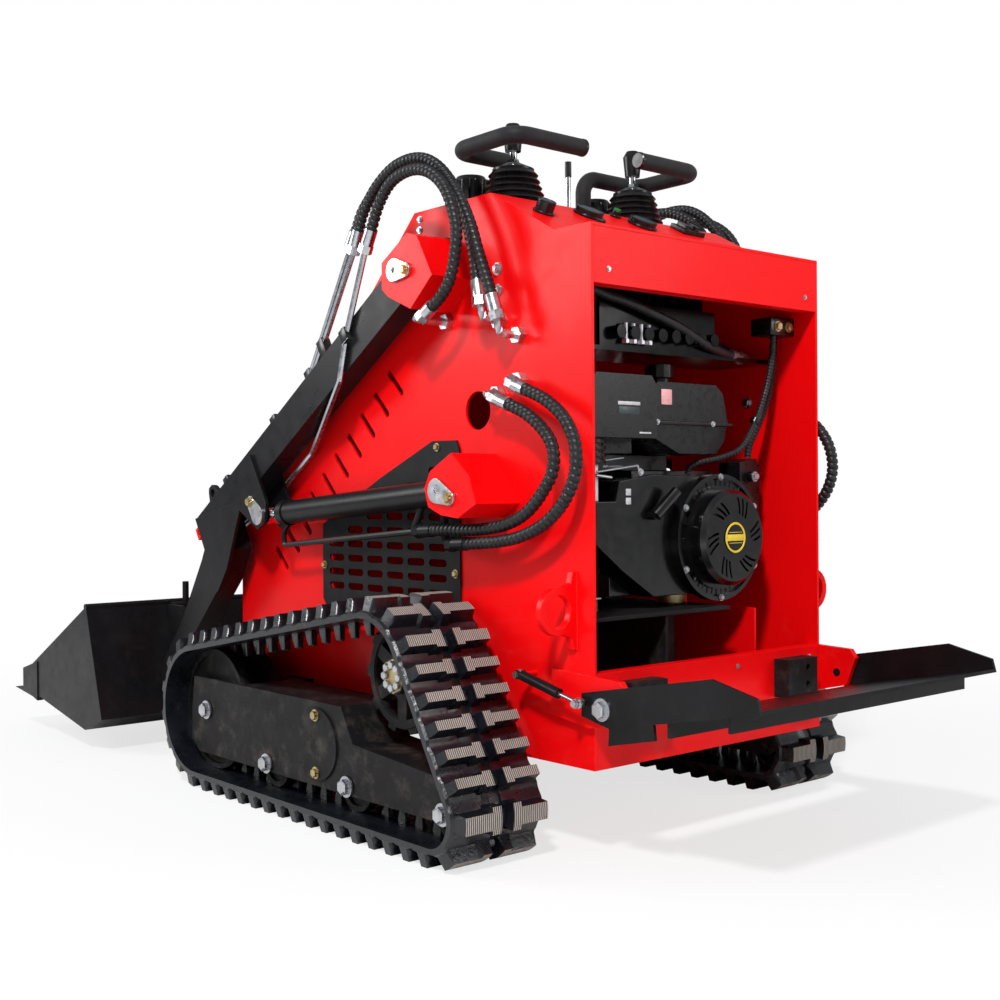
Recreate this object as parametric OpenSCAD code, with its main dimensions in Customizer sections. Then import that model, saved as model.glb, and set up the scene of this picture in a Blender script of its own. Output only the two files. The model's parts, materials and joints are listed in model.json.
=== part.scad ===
/* [Body] */
// width over the two side plates
body_w = 616; // [540:2:700]
// thickness of the body plates
plate_t = 6; // [4:1:10]
// height of the body's lower edge above the ground
body_low = 160; // [140:5:200]
// height of the rear edge of the console
body_top = 1067; // [980:1:1140]
// height of the level hood
hood_z = 1158; // [1090:1:1220]
// distance from the rear face to the front face
body_len = 1150; // [1050:1:1300]
// radius of the round hole in each side plate
side_hole_r = 35; // [25:1:45]
// number of louvre slots in each side plate
louvre_n = 10; // [6:1:10]
// length of one louvre slot
louvre_len = 70; // [50:1:80]
// width of one louvre slot
louvre_w = 13; // [8:1:18]

/* [Controls] */
// sideways place of the middle of the controls
console_y = 20; // [0:5:40]
// distance from that middle to each joystick
stick_gap = 163; // [140:1:180]
// height of the hand grips' centre line
grip_z = 1268; // [1230:1:1300]
// radius of the foam on the hand grips
grip_r = 16; // [13:0.5:18]

/* [Tracks] */
// gap between a side plate and its track
track_gap = 17; // [12:1:40]
// width of one rubber track
track_w = 200; // [180:2:220]
// wanted distance between two lugs
track_pitch = 72; // [60:1:90]
// thickness of the rubber belt
belt_t = 14; // [10:1:18]
// height of the tread lugs
lug_h = 24; // [16:1:28]
// height of the inner guide teeth
guide_h = 28; // [20:1:32]
// radius of the front idler
idler_r = 127; // [115:1:135]
// radius of the drive sprocket
sprocket_r = 108; // [98:1:114]
// number of teeth on the drive sprocket
sprocket_n = 10; // [8:1:12]
// radius of the lower rollers
roller_r = 50; // [44:1:58]

/* [Arms] */
// height of the arm pivot
arm_pivot_z = 1031; // [1000:1:1060]
// gap between a side plate and its arm
arm_gap = 27; // [22:1:40]
// depth of the arm tube
arm_deep = 76; // [60:1:90]
// width of the arm tube
arm_w = 50; // [44:1:56]
// radius of the pins
pin_r = 13; // [10:0.5:16]
// outer radius of the lift cylinder
lift_r = 25; // [20:0.5:26]
// radius of the lift rod
lift_rod_r = 14; // [10:0.5:17]
// outer radius of the tilt cylinder
tilt_r = 26; // [20:0.5:28]
// radius of the hydraulic hoses
hose_r = 11; // [8:0.5:12]
// radius of the hydraulic pipes
pipe_r = 6; // [4:0.5:7]

/* [Bucket] */
// width of the bucket
bucket_w = 1040; // [900:5:1100]
// thickness of the bucket plates
bucket_t = 6; // [4:1:10]
// depth of the cutting edge ahead of the side plates
lip_len = 72; // [40:1:90]

/* [Platform] */
// distance from the rear face to the platform's far edge
step_back = 358; // [300:2:400]
// thickness of the platform plates
step_t = 6; // [4:1:8]

/* [Engine] */
// radius of the recoil starter cover
recoil_r = 90; // [75:1:96]
// radius of the fan housing
fan_r = 120; // [110:1:126]

/* [Hidden] */
$fn = 48;
// running gap of a pin, seat gap of a plate that lies on another piece
pin_gap = 0.3;
seat = 0.3;

// sideways places: side plate, track edges and middle, arm faces, lift cylinder
wy = body_w / 2;
in_wall = wy - plate_t;
in_y = wy + track_gap;
out_y = in_y + track_w;
mid_y = (in_y + out_y) / 2;
arm_in = wy + arm_gap;
arm_out = arm_in + arm_w;
arm_mid = (arm_in + arm_out) / 2;

// lengthwise places ahead of the body: cross tube, bucket's back, its side plates' tips
nose = body_len + 28;
bucket_back = nose + 270;
bucket_front = nose + 749;
mid_x = (bucket_front + lip_len - step_back) / 2;

// wheel centres, each [x, z]
idler_c = [980, idler_r + belt_t + lug_h];
roller_z = roller_r + belt_t + lug_h;
sprocket_c = [360, 295];
roller_x = [172, 455, 736];

// pins, each [x, z]
arm_c = [418, arm_pivot_z];
arm_end = [nose + 29, 542];
lift_base = [287, 625];
lift_pin = [nose - 251, 577];
tilt_base = [nose + 32, 700];
tilt_pin = [nose + 212, 333];
tool_pin = [nose + 194, 190];
step_pin = [-39, 269];
spring_base = [143, 310];
spring_pin = [0, 277];

// arm direction and length from its pivot to the cross tube
arm_v = arm_end - arm_c;
arm_len = norm(arm_v);
arm_a = atan2(arm_v.y, arm_v.x);

// plane polygon in x and z, thickened along y from y0 to y1
module slab(y0, y1) translate([0, y1, 0]) rotate([90, 0, 0]) linear_extrude(y1 - y0) children();
// polygon in y and z, thickened along x from x0 to x1
module wall(x0, x1)
    translate([x0, 0, 0]) rotate([90, 0, 90]) linear_extrude(x1 - x0) children();
// polygon in x and y, thickened upwards from z0 to z1
module plate(z0, z1) translate([0, 0, z0]) linear_extrude(z1 - z0) children();
// round bar along y at [x, z]
module pin(c, r, y0, y1) translate([c.x, y1, c.y]) rotate([90, 0, 0]) cylinder(r = r, h = y1 - y0);
// hexagon bar along y at [x, z]
module hex_pin(c, r, y0, y1)
    translate([c.x, y1, c.y]) rotate([90, 0, 0]) cylinder(r = r, h = y1 - y0, $fn = 6);
// both sides of the machine
module twin() { children(); mirror([0, 1, 0]) children(); }
// box from corner a to corner b
module blk(a, b) translate(a) cube(b - a);
module placed() translate([-mid_x, 0, 0]) children();

function unit(v) = v / norm(v);
// arc points round c, from angle a to angle b
function arc(c, r, a, b, step = 15) = [for (i = [0:round(abs(b - a) / step)])
    let(t = a + (b - a) * i / round(abs(b - a) / step)) c + r * [cos(t), sin(t)]];
// outline of a slot: centre, length, width, angle and step of its round ends
function slot_pts(c, l, w, a, step = 30) = [for (e = [0, 180], k = [-90:step:90])
    c + (l - w) / 2 * [cos(a + e), sin(a + e)] + w / 2 * [cos(a + e + k), sin(a + e + k)]];
// outline round two circles: big one at c, small one at c + v
function flag_pts(c, r, v, s) = let(a = atan2(v.y, v.x), k = acos((r - s) / norm(v)))
    concat(arc(c, r, a + k, a + 360 - k), arc(c + v, s, a - k, a + k));
// strip of thickness t on the right hand of a polyline
function nrm(v) = [v.y, -v.x] / norm(v);
function off_pt(p, i, t) =
    let(n1 = i > 0 ? nrm(p[i] - p[i - 1]) : nrm(p[1] - p[0]),
        n2 = i < len(p) - 1 ? nrm(p[i + 1] - p[i]) : n1,
        b = n1 + n2)
    p[i] + b * (2 * t / (b * b));
function strip(p, t) = concat(p, [for (i = [len(p) - 1:-1:0]) off_pt(p, i, t)]);

// round rod between two points of space
module rod(a, b, r) {
    d = b - a;
    translate(a) rotate([0, acos(d.z / norm(d)), atan2(d.y, d.x)]) cylinder(r = r, h = norm(d));
}
// round bar through the points p, with bends of radius bend_r at its corners
module bent(p, r, bend_r) {
    last = len(p) - 1;
    cut = [for (i = [0:last]) i == 0 || i == last ? 0 :
        bend_r * tan(acos(unit(p[i] - p[i - 1]) * unit(p[i + 1] - p[i])) / 2)];
    for (i = [0:last - 1])
        let(d = unit(p[i + 1] - p[i])) rod(p[i] + d * cut[i], p[i + 1] - d * cut[i + 1], r);
    for (i = [1:last - 1])
        let(d = unit(p[i] - p[i - 1]), e = unit(p[i + 1] - p[i]), n = unit(cross(d, e)),
            m = cross(n, d), c = p[i] - d * cut[i] + bend_r * m)
            multmatrix([[-m.x, d.x, n.x, c.x], [-m.y, d.y, n.y, c.y], [-m.z, d.z, n.z, c.z],
                [0, 0, 0, 1]])
                rotate_extrude(angle = acos(d * e)) translate([bend_r, 0]) circle(r);
}
// hose of radius r swept along the points p, eight sides, first edge turned from the direction e
function ring(p, i, r, e) = let(d = unit(p[min(i + 1, len(p) - 1)] - p[max(i - 1, 0)]),
    u = unit(cross(e, d)), v = cross(d, u))
    [for (a = [0:45:315]) p[i] + r * (cos(a) * u + sin(a) * v)];
module hose(p, r, e = [0, 1, 0]) polyhedron(
    points = [for (i = [0:len(p) - 1]) each ring(p, i, r, e)],
    faces = concat([[for (k = [0:7]) k]],
        [for (i = [0:len(p) - 2], k = [0:7]) let(a = i * 8 + k, b = i * 8 + (k + 1) % 8)
            each [[a, a + 8, b + 8], [a, b + 8, b]]],
        [[for (k = [7:-1:0]) (len(p) - 1) * 8 + k]]));
// points of a polyline with its corners rounded, cut away from each corner
function rounded(p, cut) = concat([p[0]], [for (i = [1:len(p) - 2])
    let(a = p[i] + unit(p[i - 1] - p[i]) * cut, b = p[i] + unit(p[i + 1] - p[i]) * cut)
        each [a, (a + b) / 4 + p[i] / 2, b]], [p[len(p) - 1]]);
// crimped sleeve and hexagon nut behind the end b of a hose that comes from a
module sleeve(a, b, l) {
    d = unit(b - a);
    rod(b + d * seat, b + d * l, hose_r + 1.5);
    rod(b + d * l, b + d * (l + 16), hose_r + 3, $fn = 6);
}

// side outline of the body, from the rear foot over the top to the front foot
body_top_line = [[0, body_top], [89, body_top], [255, hood_z], [481, hood_z],
    [body_len - 18, 548], [body_len, 500], [body_len, body_low]];
body_outline = concat([[0, body_low]], body_top_line);
louvre_step = [(body_len - 676) / 10, -39.7];

// side grille: outline, edge of the plate's opening, first slot and slot spacing
grille_pts = [[357, 388], [345, 402], [345, 700], [354, 718], [426, 719], [596, 651], [805, 557],
    [805, 402], [793, 388]];
grille_hole = [[375, 418], [375, 690], [424, 690], [590, 622], [775, 540], [775, 418]];
grille_slot = [412, 431];
grille_step = [68, 29];
grille_margin = 26;
function grille_top(x) = min(719, 651 - (x - 596) * (x < 596 ? 68 / 170 : 94 / 209));

module side_plates() placed() color([0.85, 0.02, 0.02]) twin() slab(in_wall, wy) difference() {
    polygon(body_outline);
    translate([295, 770]) circle(side_hole_r);
    polygon(grille_hole);
    for (i = [0:louvre_n - 1])
        polygon(slot_pts([549, 837] + i * louvre_step, louvre_len, louvre_w, 45));
}

// joystick column, seen from above
stick_x = 335;
module hood_panel() placed() color([0.85, 0.02, 0.03]) difference() {
    slab(-in_wall, in_wall) polygon(strip(body_top_line, plate_t));
    for (s = [-1, 1]) translate([stick_x, console_y + s * stick_gap, hood_z - 20])
        cylinder(r = 30, h = 40);
}

header_z = 967;
sill_z = 320;
module rear_panels() placed() color([0.85, 0.02, 0.03]) {
    slab(-in_wall, in_wall)
        polygon(strip([[30, header_z], [0, header_z], [0, body_top - plate_t]], plate_t));
    slab(-in_wall, in_wall) polygon(strip([[24, sill_z], [0, sill_z], [0, body_low]], -plate_t));
    twin() slab(wy, wy + 12) difference() {
        polygon([[90, 322], [-70, 316], [-82, 300], [-60, 246], [0, 232], [90, 245]]);
        translate(step_pin) circle(8);
    }
    twin() pin(spring_base, 4, wy, wy + arm_gap + 1.7);
}

module floor_deck() placed() color([0.75, 0.02, 0.02]) {
    blk([plate_t, -in_wall, body_low], [body_len - plate_t, in_wall, body_low + plate_t]);
    blk([60, -190, body_low + plate_t], [420, -190 + plate_t, 395]);
}

// towers and brackets: outer plate, box walls behind it, pin and its flag
tower_y = arm_out + 7;
tower_t = 8;
tower_pts = [[353, 1086], [383, 1095], [462, 1050], [462, 1000], [443, 985], [374, 955], [309, 1009]];
module arm_towers() placed() color([0.85, 0.02, 0.02]) twin() difference() {
    union() {
        slab(tower_y, tower_y + tower_t) polygon(tower_pts);
        slab(wy, tower_y + tower_t)
            polygon(strip([[374, 955], [309, 1009], [353, 1086], [383, 1095]], tower_t));
    }
    pin(arm_c, pin_r, arm_in - 10, tower_y + tower_t + 1);
}

bracket_y = arm_out + 15;
bracket_pts = [[249, 691], [309, 660], [326, 630], [315, 596], [279, 582], [232, 577], [182, 602],
    [200, 650]];
module cylinder_brackets() placed() color([0.85, 0.03, 0.02]) twin() difference() {
    union() {
        slab(bracket_y, bracket_y + tower_t) polygon(bracket_pts);
        slab(wy, bracket_y + tower_t)
            polygon(strip([[232, 577], [182, 602], [249, 691]], tower_t));
    }
    pin(lift_base, pin_r, arm_in - 10, bracket_y + tower_t + 1);
}

flag_t = 6;
flag_r = 22;
module flag_pin(c, v, y0, y1) {
    pin(c, pin_r - pin_gap, y0 + seat, y1 + seat);
    slab(y1 + seat, y1 + seat + flag_t) difference() {
        polygon(flag_pts(c, flag_r, v, 13));
        translate(c) circle(5);
    }
    hex_pin(c + v, 8, y1 + seat + flag_t, y1 + seat + 2 * flag_t);
}
module pivot_pins() placed() color([0.7, 0.7, 0.72]) twin() {
    flag_pin(arm_c, [-36, -4], wy, tower_y + tower_t);
    flag_pin(lift_base, [-38, -13], wy, bracket_y + tower_t);
}

// lashing eye: ring centre [y, z], radii, and plate from ring_x to ring_x + ring_t
ring_c = [wy + 41, 423];
ring_r = 40.5;
ring_hole = 27;
ring_x = 40;
ring_t = 14;
module tie_down_rings() placed() color([0.85, 0.03, 0.02]) twin() wall(ring_x, ring_x + ring_t)
    difference() {
        union() {
            translate(ring_c) circle(ring_r);
            for (s = [-1, 1]) polygon([[wy, ring_c.y], [wy, ring_c.y + s * 66],
                [wy + 8, ring_c.y + s * 66], [wy + 13, ring_c.y + s * 46],
                [ring_c.x - 12, ring_c.y + s * 38.7], ring_c]);
        }
        translate(ring_c) circle(ring_hole);
    }

module side_grilles() placed() color([0.05, 0.05, 0.06]) twin() slab(wy, wy + 4) difference() {
    polygon(grille_pts);
    for (c = [0:5], r = [0:9])
        let(p = [grille_slot.x + c * grille_step.x, grille_slot.y + r * grille_step.y])
            if (p.y + grille_margin < grille_top(p.x + 27)) polygon(slot_pts(p, 54, 14, 0, 45));
}

module stop_blocks() placed() color([0.05, 0.05, 0.05]) twin() difference() {
    blk([-34, 166, 233], [0, 255, 304]);
    for (z = [255, 286]) translate([-40, 226, z]) rotate([0, 90, 0]) cylinder(r = 6, h = 50);
}

// outline of one track frame, and the distance of its plates from the track's edges
frame_top = [[150, 145], [438, 167], [476, 231], [1039, 231], [1050, 160], [1050, 95]];
frame_pts = concat([[164, 72], [150, 82]], frame_top, [[1020, 72]]);
frame_in = 35;
frame_t = 8;
module track_frames() placed() color([0.07, 0.07, 0.07]) twin() {
    for (y = [in_y + frame_in, out_y - frame_in - frame_t]) slab(y, y + frame_t) difference() {
        polygon(frame_pts);
        for (c = [idler_c, each [for (x = roller_x) [x, roller_z]]]) translate(c) circle(9);
    }
    slab(in_y + frame_in + frame_t, out_y - frame_in - frame_t)
        polygon(strip([each [for (i = [0:2]) frame_top[i]],
            [idler_c.x - idler_r - 8, frame_top[3].y]], 6));
    for (x = [500, 850]) blk([x, wy, 165], [x + 80, in_y + frame_in, 225]);
    slab(out_y - frame_in, out_y - frame_in + 4) translate([555, 152]) circle(68);
    for (z = [98, 206]) hex_pin([555, z], 8, out_y - frame_in + 3, out_y - frame_in + 9);
}

module drive_sprockets() placed() color([0.06, 0.06, 0.06]) twin() {
    slab(mid_y - 11, mid_y + 11) difference() {
        union() {
            translate(sprocket_c) circle(sprocket_r - 11);
            for (a = [0:360 / sprocket_n:359]) translate(sprocket_c) rotate(a)
                polygon([[sprocket_r - 20, -15], [sprocket_r - 2, -10], [sprocket_r - 2, 10],
                    [sprocket_r - 20, 15]]);
        }
        for (a = [0:60:359]) translate(sprocket_c) rotate(a)
            polygon(concat(arc([0, 0], sprocket_r - 28, -21, 21), arc([0, 0], 44, 12, -12)));
    }
    slab(mid_y + 11, mid_y + guide_y[0] - seat) translate(sprocket_c) difference() {
        circle(sprocket_r - 13);
        circle(sprocket_r - 26);
    }
    pin(sprocket_c, 33, wy, mid_y + 30);
    for (a = [0:45:359]) hex_pin(sprocket_c + 21 * [cos(a), sin(a)], 6.5, mid_y + 30, mid_y + 36);
}

// wheel with two rims that run on the belt beside the guide teeth, on a through axle
rim = [24, 46];
module wheel(c, r, hub) {
    core = max(r - guide_h - 8, hub);
    translate([c.x, mid_y, c.y]) rotate([90, 0, 0]) rotate_extrude() polygon([[0, -rim[1]],
        [hub, -rim[1]], [hub, -rim[1] + 7], [r - 10, -rim[1] + 7], [r - 10, -rim[1]], [r, -rim[1]],
        [r, -rim[0]], [core, -rim[0]], [core, rim[0]], [r, rim[0]], [r, rim[1]], [r - 10, rim[1]],
        [r - 10, rim[1] - 7], [hub, rim[1] - 7], [hub, rim[1]], [0, rim[1]]]);
    pin(c, 8, in_y + frame_in - 4, out_y - frame_in + 5);
    hex_pin(c, 13, out_y - frame_in + 5, out_y - frame_in + 14);
}
module track_wheels() placed() color([0.07, 0.07, 0.07]) twin() {
    wheel(idler_c, idler_r - 0.6, 30);
    for (x = roller_x) wheel([x, roller_z], roller_r - 1, 14);
}

// belt path: wheels as [x, z, r], run counter clockwise seen from the left side
loop = [[idler_c.x, idler_c.y, idler_r], [sprocket_c.x, sprocket_c.y, sprocket_r],
    [roller_x[0], roller_z, roller_r]];
loop_n = len(loop);
function lp(i) = loop[(i + loop_n) % loop_n];
// direction of the outer tangent from wheel i to the next
function tan_a(i) = let(a = lp(i), b = lp(i + 1), d = norm([b.x - a.x, b.y - a.y]))
    atan2(b.y - a.y, b.x - a.x) - asin((b[2] - a[2]) / d);
// angle of the contact points, before and after each wheel
function a_in(i) = tan_a(i - 1) - 90;
function a_out(i) = let(a = tan_a(i) - 90, b = a_in(i)) a < b ? a + 360 : a;
function arc_l(i) = (a_out(i) - a_in(i)) * PI / 180 * lp(i)[2];
function run_l(i) = let(a = lp(i), b = lp(i + 1), d = norm([b.x - a.x, b.y - a.y]))
    sqrt(d * d - (b[2] - a[2]) * (b[2] - a[2]));
function seg_l(i) = arc_l(i) + run_l(i);
path_l = seg_l(0) + seg_l(1) + seg_l(2);
lug_n = round(path_l / track_pitch);
pitch = path_l / lug_n;
// point at distance s along the path and d outside it
function walk(s, d, i = 0) = s < 0 ? walk(s + path_l, d, i) :
    s > seg_l(i) ? walk(s - seg_l(i), d, (i + 1) % loop_n) :
    s < arc_l(i) ? let(a = a_in(i) + s / lp(i)[2] * 180 / PI)
        [lp(i).x, lp(i).y] + (lp(i)[2] + d) * [cos(a), sin(a)] :
    let(a = a_out(i), t = tan_a(i))
        [lp(i).x, lp(i).y] + (lp(i)[2] + d) * [cos(a), sin(a)] + (s - arc_l(i)) * [cos(t), sin(t)];
// smooth loop at distance d outside the path
function belt_ring(d) = [for (i = [0:loop_n - 1])
    each arc([lp(i).x, lp(i).y], lp(i)[2] + d, a_in(i), a_out(i), 10)];
// lugs of one strip, each [along the belt, height share], on a band that sinks into the belt
lug_shape = [[-19, 0], [-13.5, 1], [13.5, 1], [19, 0]];
module lugs() difference() {
    polygon([for (i = [0:lug_n - 1], p = lug_shape)
        walk((i + 0.5) * pitch + p.x, belt_t + p.y * lug_h)]);
    polygon(belt_ring(belt_t / 3));
}
// lug strips across the belt, as shares of its width, and the two rows of guide teeth
tread = [[0.02, 0.45], [0.55, 0.98]];
groove = 4;
guide_y = [14, 23];
module track() {
    slab(in_y, out_y) difference() {
        polygon(belt_ring(belt_t - groove));
        polygon(belt_ring(0));
    }
    for (t = tread) slab(in_y + t[0] * track_w, in_y + t[1] * track_w) lugs();
    for (y = [-guide_y[1], guide_y[0]]) slab(mid_y + y, mid_y + y + guide_y[1] - guide_y[0])
        for (i = [0:lug_n - 1]) polygon([for (p = [[-17, 4], [-10, -guide_h], [10, -guide_h], [17, 4]])
            walk((i + 0.5) * pitch + p[0], p[1])]);
}
module rubber_track_left() placed() color([0.06, 0.06, 0.07]) track();
module rubber_track_right() placed() color([0.06, 0.06, 0.07]) mirror([0, 1, 0]) track();

// engine: mount plate top, height of its rubber mounts, shaft [y, z], shroud from shroud_x
mount_z = 406;
mount_h = 22;
shaft = [-105, 533];
shroud_x = 96;
module engine_mount() placed() color([0.08, 0.08, 0.08]) {
    blk([50, -100, mount_z - 8], [420, 260, mount_z]);
    for (x = [150, 370], y = [-50, 190]) translate([x, y, mount_z]) cylinder(r = 28, h = mount_h);
    blk([60, 60, body_low + plate_t], [400, 68, mount_z - 8]);
    blk([180, -90, body_low + plate_t], [400, -20, mount_z - 8]);
}
module engine_block() placed() color([0.05, 0.05, 0.05]) {
    blk([150, -170, mount_z + mount_h], [400, 120, 600]);
    blk([150, -170, 600], [400, 60, 660]);
    for (y = [126:14:224]) blk([165, y, 470], [385, y + 6, 640]);
    blk([185, 120, 490], [365, 230, 620]);
    blk([170, -60, 660], [380, 230, 690]);
    blk([200, 60, 600], [350, 200, 660]);
    wall(shroud_x, 150) polygon([[-190, 628], [-176, 646], [60, 652], [146, 640], [156, 604],
        [246, 604], [250, 560], [140, 478], [60, mount_z + mount_h], [-60, mount_z + mount_h],
        [-190, 470]]);
}
// slot of the starter cover: bent outline from radius 48 to the rim
function vent_pts(w) = [for (s = [-1, 1], k = [0:3]) let(q = s < 0 ? k : 3 - k, r = 46 + q * 10)
    (r) * [cos(q * 4), sin(q * 4)] + s * w / 2 * [-sin(q * 4), cos(q * 4)]];
module fan_housing() placed() color([0.04, 0.04, 0.04])
    translate([shroud_x - seat, shaft.x, shaft.y]) rotate([0, -90, 0]) {
        difference() {
            cylinder(r = fan_r, h = 20);
            translate([0, 0, 14]) difference() {
                cylinder(r = fan_r - 8, h = 10);
                cylinder(r = recoil_r + 8, h = 10);
            }
        }
        translate([0, 0, 20]) difference() {
            union() {
                cylinder(r = recoil_r, h = 26);
                translate([0, 0, 26]) cylinder(r1 = recoil_r, r2 = recoil_r - 8, h = 8, $fn = 48);
            }
            for (a = [0:60:359], k = [-1:1]) rotate(a + 30 + k * 11)
                translate([0, 0, 24]) linear_extrude(20) polygon(vent_pts(5));
            for (a = [100:12:250]) rotate(a) translate([recoil_r - 5, -3, 4]) cube([20, 6, 14]);
            translate([0, 0, 33]) cylinder(r = 30, h = 9);
        }
        translate([0, 0, 53 - seat]) cylinder(r = 29, h = 3);
        rod([44, 172, 12], [88, 128, 24], 11);
    }
module fuel_tank() placed() color([0.05, 0.05, 0.05]) {
    wall(90, 330) polygon([[62, 750], [60, 812], [50, 822], [-112, 822], [-132, 806], [-146, 750]]);
    wall(84, 336) polygon([[68, 744], [68, 750], [-152, 750], [-152, 744]]);
    wall(94, 326) polygon([[62, 744], [58, 718], [-10, 690 + seat], [-116, 690 + seat], [-140, 716],
        [-146, 744]]);
    translate([170, -40, 822]) cylinder(r = 20, h = 14);
    translate([170, -40, 836]) cylinder(r = 28, h = 26, $fn = 12);
}
module air_filter() placed() color([0.05, 0.05, 0.05]) {
    wall(70, 300) polygon([[76, 716], [76, 812], [88, 829], [228, 829], [252, 808], [252, 716]]);
    translate([115, 212, 670]) for (i = [0:3]) {
        translate([0, 0, i * 12]) cylinder(r = 36, h = 7);
        translate([0, 0, i * 12 + 7]) cylinder(r = 31, h = 5);
    }
    blk([120, 90, 690 + seat], [280, 220, 716]);
}
module carburettor() placed() color([0.7, 0.7, 0.72]) {
    blk([shroud_x + 4, 196, 604 + seat], [146, 242, 670 - seat]);
    translate([shroud_x + 4, 225, 632]) rotate([0, -90, 0]) cylinder(r = 14, h = 12);
}
module ignition_panel() placed() color([0.05, 0.05, 0.05]) {
    wall(shroud_x + 2, 150) polygon([[-190 - seat, 556], [-190 - seat, 676], [-240, 684],
        [-254, 660], [-246, 556]]);
    translate([shroud_x + 2, -218, 648]) rotate([0, -90, 0]) cylinder(r = 11, h = 14);
    translate([shroud_x + 2, -226, 590]) rotate([0, -90, 0]) cylinder(r = 10, h = 8);
}
shelf_z = 880;
module hydraulic_pump() placed() color([0.1, 0.1, 0.1]) {
    translate([400 + seat, shaft.x, shaft.y]) rotate([0, 90, 0]) cylinder(r = 55, h = 160);
    blk([100, -in_wall, shelf_z - 8], [260, in_wall, shelf_z]);
    blk([100, -120, shelf_z], [260, 190, 960]);
    for (y = [-100:36:170]) {
        translate([130, y, 960]) cylinder(r = 13, h = 34);
        translate([128, y, 905]) rotate([0, -90, 0]) cylinder(r = 12, h = 46);
    }
}
// points of the hose and the cables in the bay
bay_hose = [[172, -286, 893], [172, -250, 898], [170, -210, 910], [166, -170, 918],
    [165, -120 - seat, 918]];
bay_lead_a = [[62, -250, 923 - seat], [63, -246, 880], [64, -234, 830], [64, -212, 780],
    [62, -180, 735], [64, -148, 700], [82, -115, 684], [104, -82, 676], [117, -66, 666],
    [120, -62, 652]];
bay_lead_b = [[84, -280, 923 - seat], [84, -278, 880], [84, -270, 830], [88, -254, 780],
    [96, -238, 740], [106, -230, 710], [110, -228, 685]];
module bay_cables() placed() color([0.03, 0.03, 0.03]) {
    blk([50, seat - in_wall, 923], [100, -228, 957]);
    hose(bay_hose, 9, [1, 0, 0]);
    rod([172, -286, 893], [172, seat - in_wall, 893], 12);
    hose(bay_lead_a, 6, [1, 0, 0]);
    hose(bay_lead_b, 7, [1, 0, 0]);
}

// console slope: its angle, its height at x, and the dials on it, each [x, y, radius, height]
slope_a = atan2(hood_z - body_top, 166);
function slope_z(x) = body_top + (x - 89) * tan(slope_a);
dials = [[181, 228, 17, 22], [217, 81, 27, 12], [212, -59, 27, 12], [243, -17, 8, 10],
    [150, 120, 9, 12]];
module on_slope(x, y) translate([x, y, slope_z(x)]) rotate([0, -slope_a, 0])
    translate([0, 0, seat]) children();
module console_dials() placed() color([0.1, 0.1, 0.1]) {
    for (d = dials) on_slope(d[0], console_y + d[1]) {
        cylinder(r = d[2], h = d[3]);
        cylinder(r = d[2] + 3, h = 4);
    }
    on_slope(205, console_y - 234) cube([44, 60, 9]);
    for (y = [-224, -194]) on_slope(214, console_y + y) cube([26, 12, 16]);
}

// round cap with finger hollows
module scallop_cap(c, r, h) translate(c) {
    cylinder(r = r - 8, h = 16);
    translate([0, 0, 16]) linear_extrude(h - 26) difference() {
        circle(r);
        for (a = [0:36:359]) rotate(a) translate([r + 3, 0]) circle(8);
    }
    translate([0, 0, h - 10]) cylinder(r1 = r - 6, r2 = r - 14, h = 10);
}
module filler_caps() placed() color([0.04, 0.04, 0.04])
    for (s = [-1, 1]) scallop_cap([452, console_y + s * 171, hood_z + seat], 41, 80);

// ribbed boot of a joystick, from its foot to its collar
boot_r = [66, 44];
boot_n = 6;
boot_h = 74;
module drive_levers() placed() color([0.05, 0.05, 0.05]) {
    for (s = [-1, 1]) translate([stick_x, console_y + s * stick_gap, hood_z + seat]) {
        rotate_extrude() polygon(concat([[0, 0]],
            [for (i = [0:boot_n - 1]) let(r = boot_r[0] + (boot_r[1] - boot_r[0]) * i / boot_n)
                each [[r, i * boot_h / boot_n], [r - 8, (i + 0.7) * boot_h / boot_n]]],
            [[boot_r[1] - 4, boot_h], [14, boot_h + 12], [0, boot_h + 12]]));
        translate([0, 0, boot_h]) cylinder(r = 7, h = 60);
        translate([0, 0, boot_h + 34]) cylinder(r1 = 15, r2 = 19, h = 40);
        translate([0, 0, boot_h + 74]) cylinder(r1 = 19, r2 = 12, h = 12);
    }
    translate([stick_x + 20, console_y, hood_z + seat]) {
        cylinder(r = 13, h = 10);
        cylinder(r = 4, h = 100);
        translate([0, 0, 88]) cylinder(r = 6.5, h = 30);
    }
}

// hand grip: post, corner and side places, seen from above
post_x = 405;
grip_back_x = 235;
grip_side = 246;
module hand_grips() placed() color([0.05, 0.05, 0.05]) for (s = [-1, 1]) {
    post = [post_x, console_y + s * 90, hood_z + seat];
    rod(post, [post.x, post.y, grip_z - 50], grip_r - 4);
    bent([[post.x, post.y, grip_z - 60], [post.x, post.y, grip_z],
        [post.x, console_y + s * grip_side, grip_z],
        [grip_back_x, console_y + s * grip_side, grip_z],
        [grip_back_x, console_y + s * 78, grip_z]], grip_r, 34);
    translate(post) cylinder(r = 26, h = 6);
}

// hose routes on the left, each [x, distance from the side plate, z], from the arm to the plate
upper_a = [[581, 60, 1133], [566, 59, 1165], [524, 58, 1207], [463, 57, 1236], [395, 56, 1238],
    [339, 55, 1214], [290, 54, 1165], [252, 53, 1103], [228, 52, 1043], [203, 51, 985],
    [196, 50, 964]];
upper_b = [[504, 84, 1121], [478, 84, 1165], [437, 84, 1199], [378, 83, 1209], [322, 83, 1193],
    [277, 83, 1153], [251, 83, 1088], [258, 82, 1030], [274, 82, 992], [298, 82, 968],
    [322, 82, 955]];
upper_c = [[627, 36, 1140], [603, 34, 1180], [553, 33, 1215], [488, 32, 1234], [417, 31, 1232],
    [358, 31, 1207], [315, 32, 1166], [280, 34, 1104], [258, 38, 1048], [244, 42, 995]];
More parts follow.
